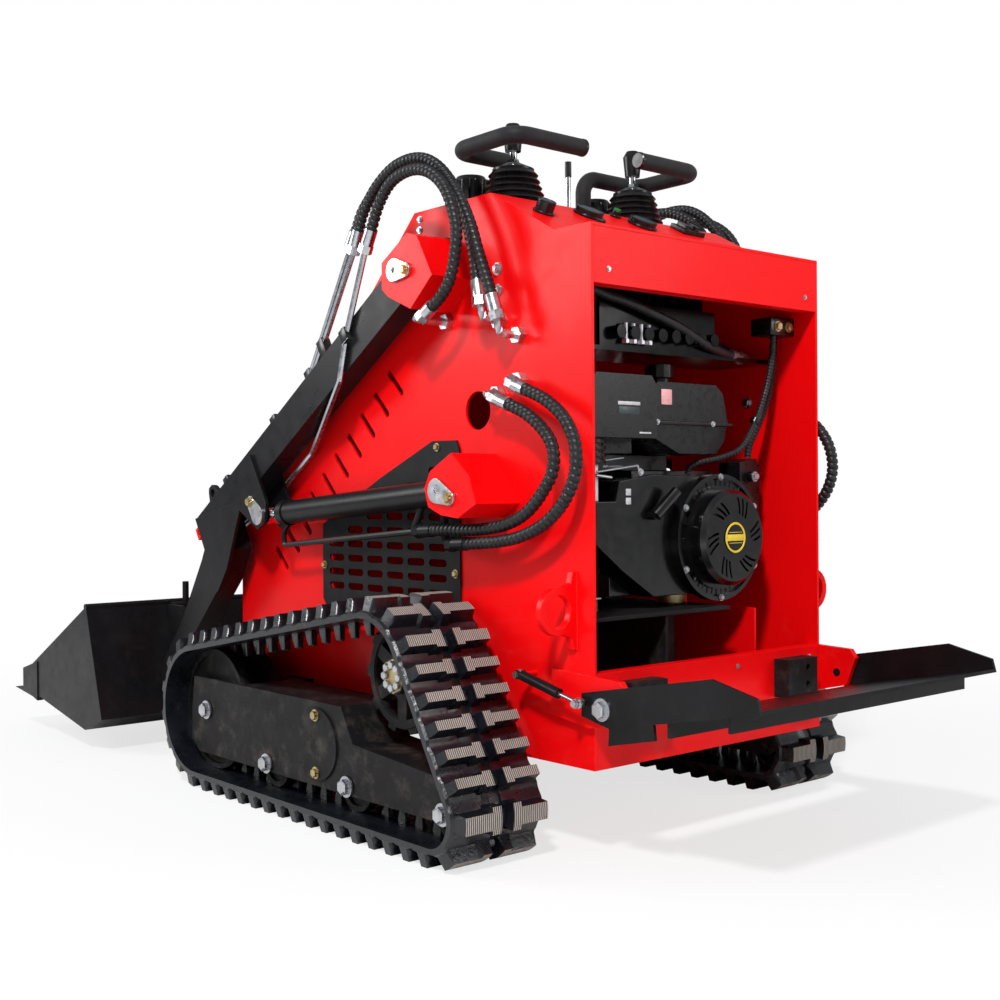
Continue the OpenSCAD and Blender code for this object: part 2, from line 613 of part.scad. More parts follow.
// from the plate to the lift cylinder
lower_a = [[167, 37, 773], [124, 37, 756], [86, 38, 732], [60, 39, 706], [51, 40, 680],
    [55, 42, 650], [76, 44, 620], [110, 46, 589], [154, 48, 569], [207, 50, 559], [270, 51, 555],
    [322, 52, 555], [363, 52, 553]];
lower_b = [[123, 37, 796], [78, 37, 778], [37, 38, 752], [12, 39, 724], [-1, 40, 694],
    [-3, 42, 659], [9, 44, 624], [35, 46, 592], [76, 48, 564], [130, 50, 545], [186, 51, 536],
    [228, 52, 533], [266, 52, 531]];
function out_pts(p) = [for (q = p) [q.x, wy + q.y, q.z]];
// sleeve at the end b of a hose that comes from a, and a bent tube over c into the plate
module spout(a, b, c, l) {
    sleeve(a, b, l);
    hose(rounded([b + unit(b - a) * l, c, [c.x, wy + seat, c.z]], 12), 7, [1, 0, 1]);
    hex_pin([c.x, c.z], 15, wy + seat, wy + 14);
}
module hose_fittings() placed() color([0.7, 0.7, 0.72]) twin() {
    for (f = [[out_pts(upper_a), 10, [176, 50, 895], 32], [out_pts(upper_b), 10, [377, 82, 938], 22],
        [out_pts(upper_c), 9, [227, 44, 926], 32], [out_pts(lower_a), 0, [233, 37, 796], 32],
        [out_pts(lower_b), 0, [175, 37, 816], 28]])
        spout(f[0][abs(f[1] - 1)], f[0][f[1]], [f[2].x, wy + f[2].y, f[2].z], f[3]);
}
module upper_hoses() placed() color([0.04, 0.04, 0.04]) twin()
    for (p = [upper_a, upper_b, upper_c]) hose(out_pts(p), hose_r);
module lower_hoses() placed() color([0.04, 0.04, 0.04]) twin()
    for (p = [lower_a, lower_b]) hose(out_pts(p), hose_r);

// arm frame: x along the arm from its pivot, y across it
module along_arm() translate(arm_c) rotate(arm_a) children();
arm_top = arm_deep / 2 - 10;
eye_plate = [[nose - 212, 706], [nose - 279, 602], [nose - 273, 560], [nose - 243, 545],
    [nose - 158, 590], [nose - 128, 660]];
module arm_tubes() placed() color([0.07, 0.07, 0.07]) twin() difference() {
    union() {
        slab(arm_in, arm_out) along_arm() translate([-46, arm_top - arm_deep])
            square([arm_len + 46, arm_deep]);
        for (y = [arm_in - 8, arm_out]) slab(y, y + 8) polygon(eye_plate);
        slab(arm_out, arm_out + 8) translate([nose, 0])
            polygon([[37, 565], [-65, 400], [-108, 455], [-178, 610]]);
        slab(arm_in, arm_out) translate([nose, 0]) polygon([[-88, 560], [4, 503], [22, 470],
            [125, 319], [222, 220], [227, 165], [172, 155], [69, 290], [-78, 430], [-118, 500]]);
        slab(arm_mid - 6, arm_mid + 6) along_arm() difference() {
            polygon([[832, arm_top - 2], [848, 66], [856, 74], [872, 74], [878, 66],
                [892, arm_top - 2]]);
            translate([863, 56]) circle(9);
        }
    }
    for (c = [arm_c, lift_pin, tool_pin]) pin(c, pin_r, arm_in - 15, arm_out + 15);
}
module arm_cross_tube() placed() color([0.07, 0.07, 0.07]) {
    difference() {
        blk([nose, -arm_in, 505], [nose + 54, arm_in, 565]);
        blk([nose + 6, -arm_in - 1, 511], [nose + 48, arm_in + 1, 559]);
    }
    for (y = [-38, 30]) slab(y, y + 8) difference() {
        translate([nose, 0]) polygon([[0, 565], [54, 565], [58, 700], [44, 724], [20, 724],
            [6, 700]]);
        translate(tilt_base) circle(pin_r);
    }
}
module arm_pins() placed() color([0.7, 0.7, 0.72]) {
    twin() {
        slab(arm_out + 8 + seat, arm_out + 8 + seat + flag_t) polygon(flag_pts(lift_pin, flag_r,
            [28, 27], 13));
        hex_pin(lift_pin + [28, 27], 8, arm_out + 8 + flag_t, arm_out + 8 + 2 * flag_t);
        pin(lift_pin, 17, arm_in - 14, arm_in - 8 - seat);
    }
    pin(tilt_base, pin_r - pin_gap, -44, 44);
    for (y = [-44, 38 + seat]) hex_pin(tilt_base, 18, y, y + 6 - seat);
}

// pipe routes on the arm, each [along the arm, y, height over its middle line]
function on_arm(p) = [for (q = p) [arm_c.x + q.x * cos(arm_a) - q.z * sin(arm_a), q.y,
    arm_c.y + q.x * sin(arm_a) + q.z * cos(arm_a)]];
pipe_z = arm_top + pipe_r + 2;
pipe_a = [[114, arm_mid + 8, 153], [304, arm_mid + 8, 62], [360, arm_mid + 8, pipe_z],
    [813, arm_mid + 8, pipe_z], [824, arm_mid + 8, pipe_z - 1]];
pipe_b = [[57, arm_out + 7, 106], [203, arm_out + 7, 4], [268, arm_out + 7, -56],
    [520, wy + 13, -60], [671, wy + 13, -62], [912, wy + 13, -34]];
pipe_c = [[151, arm_mid - 16, 187], [405, arm_mid - 16, 62], [462, arm_mid - 16, pipe_z],
    [813, arm_mid - 16, pipe_z], [824, arm_mid - 16, pipe_z - 1]];
module clamp(s, y0, y1, z0, z1) translate([arm_c.x, 0, arm_c.y]) rotate([0, -arm_a, 0])
    blk([s - 11, y0, z0], [s + 11, y1, z1]);
module arm_pipes() placed() color([0.5, 0.5, 0.52]) twin() {
    for (p = [pipe_a, pipe_b, pipe_c]) hose(rounded(on_arm(p), 5), pipe_r);
    for (h = [upper_a, upper_b, upper_c]) let(q = out_pts(h)) sleeve(q[1], q[0], 32);
    clamp(304, arm_mid - 2, arm_mid + 18, arm_top + seat, 70);
    clamp(405, arm_mid - 26 + seat, arm_mid - 6, arm_top + seat, 70);
    for (s = [540, 780]) clamp(s, arm_mid - 24, arm_mid + 16, arm_top + seat, arm_top + 18);
    clamp(203, arm_out + seat, arm_out + 15, -10, 18);
}
module arm_couplers() placed() color([0.8, 0.03, 0.03]) twin()
    slab(arm_mid - 15, arm_mid + 15) along_arm() difference() {
        translate([arm_len + seat, -10]) square([36, 28]);
        translate([arm_len + 24, 4]) circle(7);
    }

// cylinder frame: x from the base pin to the rod pin
function dir_a(a, b) = atan2(b.y - a.y, b.x - a.x);
module on_line(a, b, y) translate([a.x, y, a.y]) rotate([0, -dir_a(a, b), 0]) children();
module eye(r, w) translate([0, w / 2, 0]) rotate([90, 0, 0]) cylinder(r = r, h = w);
module barrel(a, b, y, r, ri, l, w) on_line(a, b, y) difference() {
    union() {
        rotate([0, 90, 0]) translate([0, 0, 10]) cylinder(r = r, h = l - 10);
        rotate([0, 90, 0]) translate([0, 0, l - 26]) cylinder(r = r + 3, h = 18);
        eye(r, w);
    }
    rotate([0, 90, 0]) translate([0, 0, 60]) cylinder(r = ri, h = l);
    eye(pin_r, 2 * w);
}
module ram(a, b, y, r, l, w) on_line(a, b, y) translate([norm(b - a), 0, 0]) difference() {
    union() {
        rotate([0, -90, 0]) translate([0, 0, 16]) cylinder(r = r, h = l - 16);
        eye(pin_r + 8, w);
    }
    eye(pin_r, 2 * w);
}
lift_l = 595;
// hard pipes of the lift cylinder, each [along it, y, height over its middle line]
port_front = [[100, 0, -65], [lift_l + 5, 0, -68], [lift_l + 5, 0, -42],
    [lift_l - 22, 0, 4 - lift_r]];
port_rear = [[30, 0, -93], [54, -20, -93], [72, -20, -93], [72, -20, -14]];
module lift_barrels() placed() color([0.05, 0.05, 0.05]) twin() {
    barrel(lift_base, lift_pin, arm_mid, lift_r, lift_rod_r + 0.4, lift_l, 40);
    on_line(lift_base, lift_pin, arm_mid) {
        hose(rounded(port_front, 10), pipe_r);
        hose(rounded(port_rear, 12), pipe_r + 2);
        rod([140, 0, -64], [112, 0, 4 - lift_r], pipe_r + 1);
    }
    for (h = [lower_a, lower_b]) let(q = out_pts(h), n = len(q) - 1) sleeve(q[n - 1], q[n], 34);
}
module lift_rods() placed() color([0.8, 0.8, 0.82]) twin()
    ram(lift_base, lift_pin, arm_mid, lift_rod_r, 520, 38);
tilt_rod_r = 13;
module tilt_barrel() placed() color([0.05, 0.05, 0.05])
    barrel(tilt_base, tilt_pin, 0, tilt_r, tilt_rod_r + 0.4, 365, 40);
module tilt_rod() placed() color([0.8, 0.8, 0.82]) ram(tilt_base, tilt_pin, 0, tilt_rod_r, 330, 38);

// rear plane of the bucket: x at height z
function back_x(z) = bucket_back + (z - 86) * 85 / 265;
bucket_rear = [[bucket_back + 85, 351], [bucket_back, 86], [bucket_back + 97, 50],
    [bucket_front - 77, 103]];
bucket_pts = concat([for (i = [1:3]) bucket_rear[i]], [[bucket_front, 122],
    [bucket_front, 155], bucket_rear[0]]);
hitch_t = 16;
function hitch_x(z) = back_x(z) - seat;
module quick_hitch() placed() color([0.06, 0.06, 0.06]) {
    slab(-230, 230) polygon([[hitch_x(110) - hitch_t, 110], [hitch_x(110), 110],
        [hitch_x(345), 345], [hitch_x(345) - hitch_t, 345]]);
    for (y = [-312, -232, 224, 304]) slab(y, y + 8) difference() {
        polygon([tool_pin + [-24, -15], tool_pin + [0, -32], [bucket_back - 18, 110],
            [hitch_x(110), 110], [hitch_x(345), 345], [bucket_back - 8, 345],
            tool_pin + [-24, 20]]);
        translate(tool_pin) circle(pin_r);
    }
    for (y = [-35, 27]) slab(y, y + 8) difference() {
        polygon([tilt_pin + [-24, -11], [bucket_back - 8, 220], [hitch_x(220) - hitch_t, 220],
            [hitch_x(345) - hitch_t, 345], [bucket_back - 8, 357], tilt_pin + [0, 24],
            tilt_pin + [-18, 17]]);
        translate(tilt_pin) circle(pin_r);
    }
    twin() {
        pin(tool_pin, pin_r - pin_gap, 224, arm_out);
        hex_pin(tool_pin, 18, arm_out + seat, arm_out + 8);
        pin(tool_pin, pin_r - pin_gap, arm_out, arm_out + 1);
        rod([hitch_x(345) - 12, 262, 335], [hitch_x(345) - 12, 262, 400], 8);
        slab(230, 304) polygon([[hitch_x(110) - hitch_t, 110], [hitch_x(110), 110],
            [hitch_x(170), 170], [hitch_x(170) - hitch_t, 170]]);
    }
    for (y = [-43, 35]) pin(tilt_pin, pin_r + 6, y, y + 8);
}
module bucket() placed() color([0.05, 0.05, 0.06]) {
    slab(-bucket_w / 2, bucket_w / 2) polygon(strip(bucket_rear, -bucket_t));
    pin(bucket_rear[0] + [bucket_t - 1, -2], bucket_t + 2, -bucket_w / 2, bucket_w / 2);
    twin() slab(bucket_w / 2 - bucket_t, bucket_w / 2) polygon(bucket_pts);
    twin() slab(bucket_w / 2 - 2 * bucket_t, bucket_w / 2 + 3) polygon([[bucket_front - 90, 88],
        [bucket_front + 6, 112], [bucket_front + 6, 165], [bucket_front - 90, 190]]);
    slab(-bucket_w / 2, bucket_w / 2) polygon([[bucket_front - 97, 90],
        [bucket_front + lip_len, 108], [bucket_front - 77, 116], [bucket_front - 97, 110]]);
}
step_y = wy + 15;
module platform() placed() color([0.06, 0.06, 0.06]) {
    twin() {
        slab(step_y, step_y + step_t) difference() {
            polygon([[9, 291], [-266, 342], [6 - step_back, 322], [-step_back, 299], [-150, 259],
                [-153, 234], [-52, 212], [-54, 240], [9, 253]]);
            translate(step_pin) circle(8);
        }
        pin(step_pin, 8 - pin_gap, wy + seat, wy + 30);
        pin(spring_pin, 4, step_y + step_t, wy + arm_gap + 1.7);
    }
    slab(-step_y, step_y) polygon(strip([[-101, 249.5], [-step_back, 299]], step_t));
    for (x = [-300, -180]) let(z = 249.5 - (x + 101) * 49.5 / (step_back - 101) - 24)
        blk([x, -step_y, z], [x + 6, step_y, z + 24]);
}
spring_y = wy + 37;
module spring_barrels() placed() color([0.05, 0.05, 0.05]) twin()
    on_line(spring_base, spring_pin, spring_y) difference() {
        union() {
            rotate([0, 90, 0]) translate([0, 0, 5]) cylinder(r = 9, h = 95);
            eye(8, 16);
        }
        rotate([0, 90, 0]) translate([0, 0, 30]) cylinder(r = 4.4, h = 100);
    }
module spring_rods() placed() color([0.7, 0.7, 0.72]) twin()
    on_line(spring_base, spring_pin, spring_y) translate([norm(spring_pin - spring_base), 0, 0]) {
        rotate([0, -90, 0]) cylinder(r = 4, h = 100);
        eye(8, 16);
    }

side_plates();
hood_panel();
rear_panels();
floor_deck();
arm_towers();
cylinder_brackets();
pivot_pins();
tie_down_rings();
side_grilles();
stop_blocks();
track_frames();
drive_sprockets();
track_wheels();
rubber_track_left();
rubber_track_right();
engine_mount();
engine_block();
fan_housing();
fuel_tank();
air_filter();
carburettor();
ignition_panel();
hydraulic_pump();
bay_cables();
console_dials();
filler_caps();
drive_levers();
hand_grips();
hose_fittings();
upper_hoses();
lower_hoses();
arm_tubes();
arm_cross_tube();
arm_pins();
arm_pipes();
arm_couplers();
lift_barrels();
lift_rods();
tilt_barrel();
tilt_rod();
quick_hitch();
bucket();
platform();
spring_barrels();
spring_rods();
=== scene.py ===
"""Looks of a stand-on tracked mini loader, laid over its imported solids."""

import json
import math

import bmesh
import bpy
from bpy.props import FloatProperty, FloatVectorProperty, IntProperty, PointerProperty
from bpy.types import Operator, Panel, PropertyGroup
from mathutils import Matrix, Vector


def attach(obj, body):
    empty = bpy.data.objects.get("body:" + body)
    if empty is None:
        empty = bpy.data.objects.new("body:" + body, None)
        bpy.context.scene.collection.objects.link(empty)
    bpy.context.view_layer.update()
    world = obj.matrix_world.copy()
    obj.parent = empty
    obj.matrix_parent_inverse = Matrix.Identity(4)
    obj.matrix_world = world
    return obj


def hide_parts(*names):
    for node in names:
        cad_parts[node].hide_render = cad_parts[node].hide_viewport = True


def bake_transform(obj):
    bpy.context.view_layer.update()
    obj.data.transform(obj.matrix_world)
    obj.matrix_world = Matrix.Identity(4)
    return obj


bl_info = {
    "name": "Tracked mini loader",
    "version": (1, 0, 0),
    "blender": (4, 5, 0),
    "location": "View3D > Sidebar > Loader",
    "description": "Dresses the solids of a stand-on tracked loader",
    "category": "Object",
}

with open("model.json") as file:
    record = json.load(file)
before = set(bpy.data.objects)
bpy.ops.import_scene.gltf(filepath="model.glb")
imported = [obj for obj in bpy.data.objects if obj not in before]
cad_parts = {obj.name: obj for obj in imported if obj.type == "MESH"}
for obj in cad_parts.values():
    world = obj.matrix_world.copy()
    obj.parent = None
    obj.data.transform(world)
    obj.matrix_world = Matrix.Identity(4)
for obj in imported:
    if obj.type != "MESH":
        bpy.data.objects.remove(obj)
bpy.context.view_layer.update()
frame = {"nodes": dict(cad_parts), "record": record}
NODES = frame["nodes"]
REAR_FACE_X = -0.8205


def place(x, y, z):
    """A point given from the body's rear face, moved to the row frame."""
    return Vector((x + REAR_FACE_X, y, z))


# Sizes and colours a user may change


class LoaderColours(PropertyGroup):
    red: FloatVectorProperty(
        name="Body red",
        description="Powder coat of the body",
        subtype="COLOR",
        size=3,
        min=0.0,
        max=1.0,
        default=(0.84, 0.0016, 0.003),
    )
    black: FloatVectorProperty(
        name="Frame black",
        description="Textured paint of arms, bucket and track frames",
        subtype="COLOR",
        size=3,
        min=0.0,
        max=1.0,
        default=(0.0042, 0.0042, 0.0048),
    )
    rubber: FloatVectorProperty(
        name="Track rubber",
        description="Rubber of the tracks and hoses",
        subtype="COLOR",
        size=3,
        min=0.0,
        max=1.0,
        default=(0.0034, 0.0040, 0.0062),
    )
    dust: FloatVectorProperty(
        name="Dust",
        description="Dried soil that lies on the undercarriage",
        subtype="COLOR",
        size=3,
        min=0.0,
        max=1.0,
        default=(0.30, 0.235, 0.18),
    )


class LoaderSizes(PropertyGroup):
    edge: FloatProperty(
        name="Edge rounding",
        description="Rounding of cut plate edges",
        default=0.0012,
        min=0.0002,
        max=0.003,
        unit="LENGTH",
    )
    bend: FloatProperty(
        name="Bend radius",
        description="Outer radius of the folded sheet of the hood",
        default=0.005,
        min=0.001,
        max=0.01,
        unit="LENGTH",
    )
    wrap_pitch: FloatProperty(
        name="Hose wrap pitch",
        description="Distance between two turns of the spiral guard on a hose",
        default=0.0115,
        min=0.008,
        max=0.03,
        unit="LENGTH",
    )
    wrap_height: FloatProperty(
        name="Hose wrap height",
        description="How far the spiral guard stands out from the hose",
        default=0.0022,
        min=0.0005,
        max=0.004,
        unit="LENGTH",
    )
    ridge_pitch: FloatProperty(
        name="Tread ridge pitch",
        description="Distance between two ridges on a worn tread lug",
        default=0.0042,
        min=0.002,
        max=0.01,
        unit="LENGTH",
    )


# Materials


class Finish:
    """A node material under construction, with short calls for common nodes."""

    def __init__(self, name):
        self.mat = bpy.data.materials.new(name)
        self.mat.use_nodes = True
        self.tree = self.mat.node_tree
        self.shader = self.tree.nodes["Principled BSDF"]
        self.coords = self.node("ShaderNodeTexCoord").outputs["Object"]

    def node(self, kind, **values):
        made = self.tree.nodes.new(kind)
        for key, value in values.items():
            setattr(made, key, value)
        return made

    def link(self, source, target):
        self.tree.links.new(source, target)
        return source

    def set(self, **values):
        for key, value in values.items():
            self.shader.inputs[key.replace("_", " ")].default_value = value
        return self

    def noise(self, scale, detail=4.0, rough=0.5, source=None):
        made = self.node("ShaderNodeTexNoise")
        self.link(source or self.coords, made.inputs["Vector"])
        made.inputs["Scale"].default_value = scale
        made.inputs["Detail"].default_value = detail
        made.inputs["Roughness"].default_value = rough
        return made.outputs["Fac"]

    def ramp(self, source, *stops):
        made = self.node("ShaderNodeValToRGB")
        self.link(source, made.inputs["Fac"])
        ramp = made.color_ramp
        while len(ramp.elements) < len(stops):
            ramp.elements.new(0.5)
        for element, (at, colour) in zip(ramp.elements, stops):
            element.position = at
            element.color = (*colour, 1.0) if len(colour) == 3 else colour
        return made.outputs["Color"]

    def spread(self, source, low, high, to_low=0.0, to_high=1.0):
        made = self.node("ShaderNodeMapRange")
        self.link(source, made.inputs["Value"])
        for key, value in (
            ("From Min", low),
            ("From Max", high),
            ("To Min", to_low),
            ("To Max", to_high),
        ):
            made.inputs[key].default_value = value
        return made.outputs["Result"]

    def math(self, operation, a, b):
        made = self.node("ShaderNodeMath", operation=operation)
        for socket, value in zip(made.inputs, (a, b)):
            if isinstance(value, (int, float)):
                socket.default_value = value
            else:
                self.link(value, socket)
        return made.outputs["Value"]

    def mix(self, factor, a, b):
        made = self.node("ShaderNodeMix", data_type="RGBA")
        self.link(factor, made.inputs["Factor"])
        for key, value in (("A", a), ("B", b)):
            socket = [s for s in made.inputs if s.name == key and s.type == "RGBA"][0]
            if isinstance(value, (tuple, list)):
                socket.default_value = (*value[:3], 1.0)
            else:
                self.link(value, socket)
        return [s for s in made.outputs if s.type == "RGBA"][0]

    def bump(self, source, distance, strength=1.0, below=None):
        made = self.node("ShaderNodeBump")
        made.inputs["Distance"].default_value = distance
        made.inputs["Strength"].default_value = strength
        self.link(source, made.inputs["Height"])
        if below is not None:
            self.link(below, made.inputs["Normal"])
        return made.outputs["Normal"]

    def height(self, low, high):
        """0 below low, 1 above high, by height above the ground."""
        split = self.node("ShaderNodeSeparateXYZ")
        self.link(self.coords, split.inputs["Vector"])
        return self.spread(split.outputs["Z"], low, high)

    def done(self, colour=None, rough=None, normal=None):
        for key, value in (("Base Color", colour), ("Roughness", rough), ("Normal", normal)):
            if value is not None:
                self.link(value, self.shader.inputs[key])
        return self.mat


def scaled(colour, k):
    return tuple(c * k for c in colour)


def red_coat(look, name="red_powder_coat", tint=1.0):
    f = Finish(name).set(Metallic=0.0, Specular_IOR_Level=0.12, Coat_Weight=0.05, Coat_Roughness=0.12)
    red = scaled(look.red, tint)
    colour = f.ramp(f.noise(2.6, 3.0), (0.3, scaled(red, 0.88)), (0.7, red))
    grime = f.math("MULTIPLY", f.spread(f.noise(14.0, 8.0, 0.62), 0.56, 0.78), f.height(0.42, 0.16))
    colour = f.mix(f.math("MULTIPLY", grime, 0.16), colour, look.dust[:])
    rough = f.spread(f.noise(38.0, 4.0), 0.3, 0.7, 0.30, 0.40)
    return f.done(colour, rough, f.bump(f.noise(520.0, 2.0), 0.0001, 0.45))


def black_coat(look, name="black_textured_coat", dusty=0.30, grain=900.0, rough=(0.46, 0.60)):
    f = Finish(name).set(Metallic=0.0, Specular_IOR_Level=0.17)
    colour = f.ramp(f.noise(9.0, 6.0, 0.6), (0.3, look.black[:]), (0.75, scaled(look.black, 2.1)))
    dust = f.math("MULTIPLY", f.spread(f.noise(24.0, 10.0, 0.72), 0.50, 0.74), f.height(0.50, 0.12))
    colour = f.mix(f.math("MULTIPLY", dust, dusty), colour, scaled(look.dust, 0.6))
    roughness = f.spread(f.noise(30.0, 5.0), 0.3, 0.7, *rough)
    return f.done(colour, roughness, f.bump(f.noise(grain, 3.0), 0.0002, 0.55))


# Gloss black enamel. A shade factor below 1 scales the colour and the coat weight down, which paints shade
# onto the copy made for the hydraulic pump.
def gloss_black(look, name="gloss_black_enamel", painted_shade_scale=1.0, shine=0.5):
    f = Finish(name).set(Specular_IOR_Level=shine, Coat_Weight=0.2 * painted_shade_scale, Coat_Roughness=0.06)
    low, high = (0.0014, 0.0014, 0.0017), (0.0036, 0.0036, 0.0041)
    colour = f.ramp(f.noise(12.0), (0.3, scaled(low, painted_shade_scale)), (0.7, scaled(high, painted_shade_scale)))
    return f.done(colour, f.spread(f.noise(60.0), 0.3, 0.7, 0.17, 0.27), f.bump(f.noise(160.0), 0.0001, 0.2))


def moulded_plastic(look):
    f = Finish("moulded_black_plastic").set(Specular_IOR_Level=0.42)
    colour = f.ramp(f.noise(18.0), (0.3, (0.0022, 0.0022, 0.0027)), (0.7, (0.0048, 0.0048, 0.0056)))
    grain = f.bump(f.noise(1500.0), 0.0001, 0.25)
    return f.done(colour, f.spread(f.noise(70.0), 0.3, 0.7, 0.24, 0.34), grain)


def foam(look):
    f = Finish("closed_cell_foam").set(Specular_IOR_Level=0.18, Sheen_Weight=0.08, Sheen_Roughness=0.6)
    colour = f.ramp(f.noise(40.0), (0.3, (0.0055, 0.0055, 0.0066)), (0.7, (0.011, 0.0115, 0.013)))
    return f.done(colour, f.spread(f.noise(90.0), 0.3, 0.7, 0.55, 0.7), f.bump(f.noise(900.0), 0.0004, 0.8))


def track_rubber(look):
    f = Finish("track_rubber").set(Specular_IOR_Level=0.55)
    cloud = f.noise(16.0, 8.0, 0.65)
    colour = f.ramp(cloud, (0.35, look.rubber[:]), (0.8, scaled(look.rubber, 2.4)))
    dust = f.spread(f.noise(30.0, 9.0, 0.7), 0.60, 0.82)
    colour = f.mix(f.math("MULTIPLY", dust, 0.09), colour, look.dust[:])
    rough = f.spread(cloud, 0.3, 0.7, 0.20, 0.40)
    return f.done(colour, rough, f.bump(f.noise(150.0, 6.0), 0.0012, 0.5))


def worn_rubber(look, pitch):
    """Ground lug faces: pale dusty rubber with ridges that run along the track."""
    f = Finish("worn_lug_rubber").set(Specular_IOR_Level=0.2)
    split = f.node("ShaderNodeSeparateXYZ")
    f.link(f.coords, split.inputs["Vector"])
    wobble = f.spread(f.noise(60.0, 3.0), 0.0, 1.0, -0.0006, 0.0006)
    across = f.math("ADD", split.outputs["Y"], wobble)
    wave = f.math("SINE", f.math("MULTIPLY", across, 2.0 * math.pi / pitch), 0.0)
    ridge = f.spread(wave, -0.6, 0.5)
    pale, dark = (0.52, 0.47, 0.42), (0.085, 0.075, 0.068)
    cloud = f.ramp(f.noise(35.0, 8.0, 0.7), (0.3, scaled(pale, 0.72)), (0.7, pale))
    colour = f.mix(ridge, dark, cloud)
    rough = f.spread(ridge, 0.0, 1.0, 0.72, 0.9)
    return f.done(colour, rough, f.bump(ridge, 0.0016, 0.9, f.bump(f.noise(420.0, 5.0), 0.0006, 0.6)))


def hose_rubber(look):
    f = Finish("hose_guard_plastic").set(Specular_IOR_Level=0.34)
    colour = f.ramp(f.noise(50.0), (0.3, (0.006, 0.006, 0.007)), (0.7, (0.014, 0.014, 0.016)))
    return f.done(colour, f.spread(f.noise(80.0), 0.3, 0.7, 0.34, 0.5), f.bump(f.noise(600.0), 0.0002, 0.5))


def zinc(look, name="bright_zinc", tint=(0.62, 0.63, 0.66), rough=(0.24, 0.42)):
    f = Finish(name).set(Metallic=1.0)
    colour = f.ramp(f.noise(45.0, 5.0), (0.3, scaled(tint, 0.66)), (0.7, tint))
    return f.done(colour, f.spread(f.noise(90.0, 4.0), 0.3, 0.7, *rough), f.bump(f.noise(300.0), 0.0002, 0.4))


def chrome(look):
    f = Finish("hard_chrome").set(Metallic=1.0)
    return f.done(f.ramp(f.noise(8.0), (0.3, (0.66, 0.67, 0.69)), (0.7, (0.78, 0.79, 0.80))),
                  f.spread(f.noise(50.0), 0.3, 0.7, 0.08, 0.16), f.bump(f.noise(200.0), 0.00003, 0.2))


def cast_alloy(look):
    f = Finish("raw_cast_alloy").set(Metallic=1.0)
    return f.done(f.ramp(f.noise(60.0, 6.0), (0.3, (0.42, 0.42, 0.43)), (0.7, (0.66, 0.66, 0.67))),
                  f.spread(f.noise(120.0), 0.3, 0.7, 0.38, 0.6), f.bump(f.noise(700.0), 0.0003, 0.7))


def label(look, name, colour, worn):
    """A bare sticker: plain colour with scuffs and a faint print texture."""
    f = Finish(name).set(Specular_IOR_Level=0.45)
    scuff = f.spread(f.noise(220.0, 6.0, 0.7), 0.35, 0.75)
    return f.done(f.mix(scuff, colour, worn), f.spread(f.noise(90.0), 0.3, 0.7, 0.3, 0.45),
                  f.bump(f.noise(500.0), 0.00005, 0.3))


FINISHES = {}
# Carried-over solids by finish
NODE_FINISH = {
    "red": "side_plates hood_panel rear_panels floor_deck tie_down_rings arm_couplers arm_towers",
    "bracket_red": "cylinder_brackets",
    "black": "track_frames drive_sprockets track_wheels side_grilles stop_blocks engine_mount",
    "arm_black": "arm_tubes arm_cross_tube lift_barrels tilt_barrel quick_hitch bucket platform "
    "spring_barrels",
    "rubber": "rubber_track_left rubber_track_right",
    "hose": "upper_hoses lower_hoses bay_cables",
    "foam": "hand_grips",
    "gloss": "engine_block fan_housing",
    # The hydraulic pump wears a darker, duller enamel: painted shade for the shadow under the header.
    "shade": "hydraulic_pump",
    "plastic": "air_filter fuel_tank ignition_panel console_dials drive_levers filler_caps",
    "zinc": "hose_fittings pivot_pins arm_pins",
    "pipe": "arm_pipes spring_rods",
    "alloy": "carburettor",
    "chrome": "lift_rods tilt_rod",
}
# Solids that are redrawn with rounded edges, and the share of the edge rounding each takes
EASED = {
    "side_plates": 0.9,
    "rear_panels": 0.9,
    "floor_deck": 0.8,
    "arm_towers": 1.6,
    "cylinder_brackets": 1.6,
    "tie_down_rings": 1.6,
    "arm_couplers": 1.6,
    "side_grilles": 0.4,
    "stop_blocks": 1.2,
    "track_frames": 1.4,
    "drive_sprockets": 1.2,
    "engine_mount": 1.0,
    "engine_block": 4.0,
    "fuel_tank": 4.0,
    "air_filter": 4.0,
    "carburettor": 2.0,
    "ignition_panel": 2.5,
    "hydraulic_pump": 1.6,
    "fan_housing": 1.0,
    "console_dials": 0.7,
    "filler_caps": 1.2,
    "arm_tubes": 1.8,
    "arm_cross_tube": 1.6,
    "quick_hitch": 1.0,
    "bucket": 0.8,
    "platform": 0.8,
    "pivot_pins": 0.7,
    "arm_pins": 0.7,
}
BODY_OF = {name: body for body, names in frame["record"]["behaviour"]["bodies"].items() for name in names}


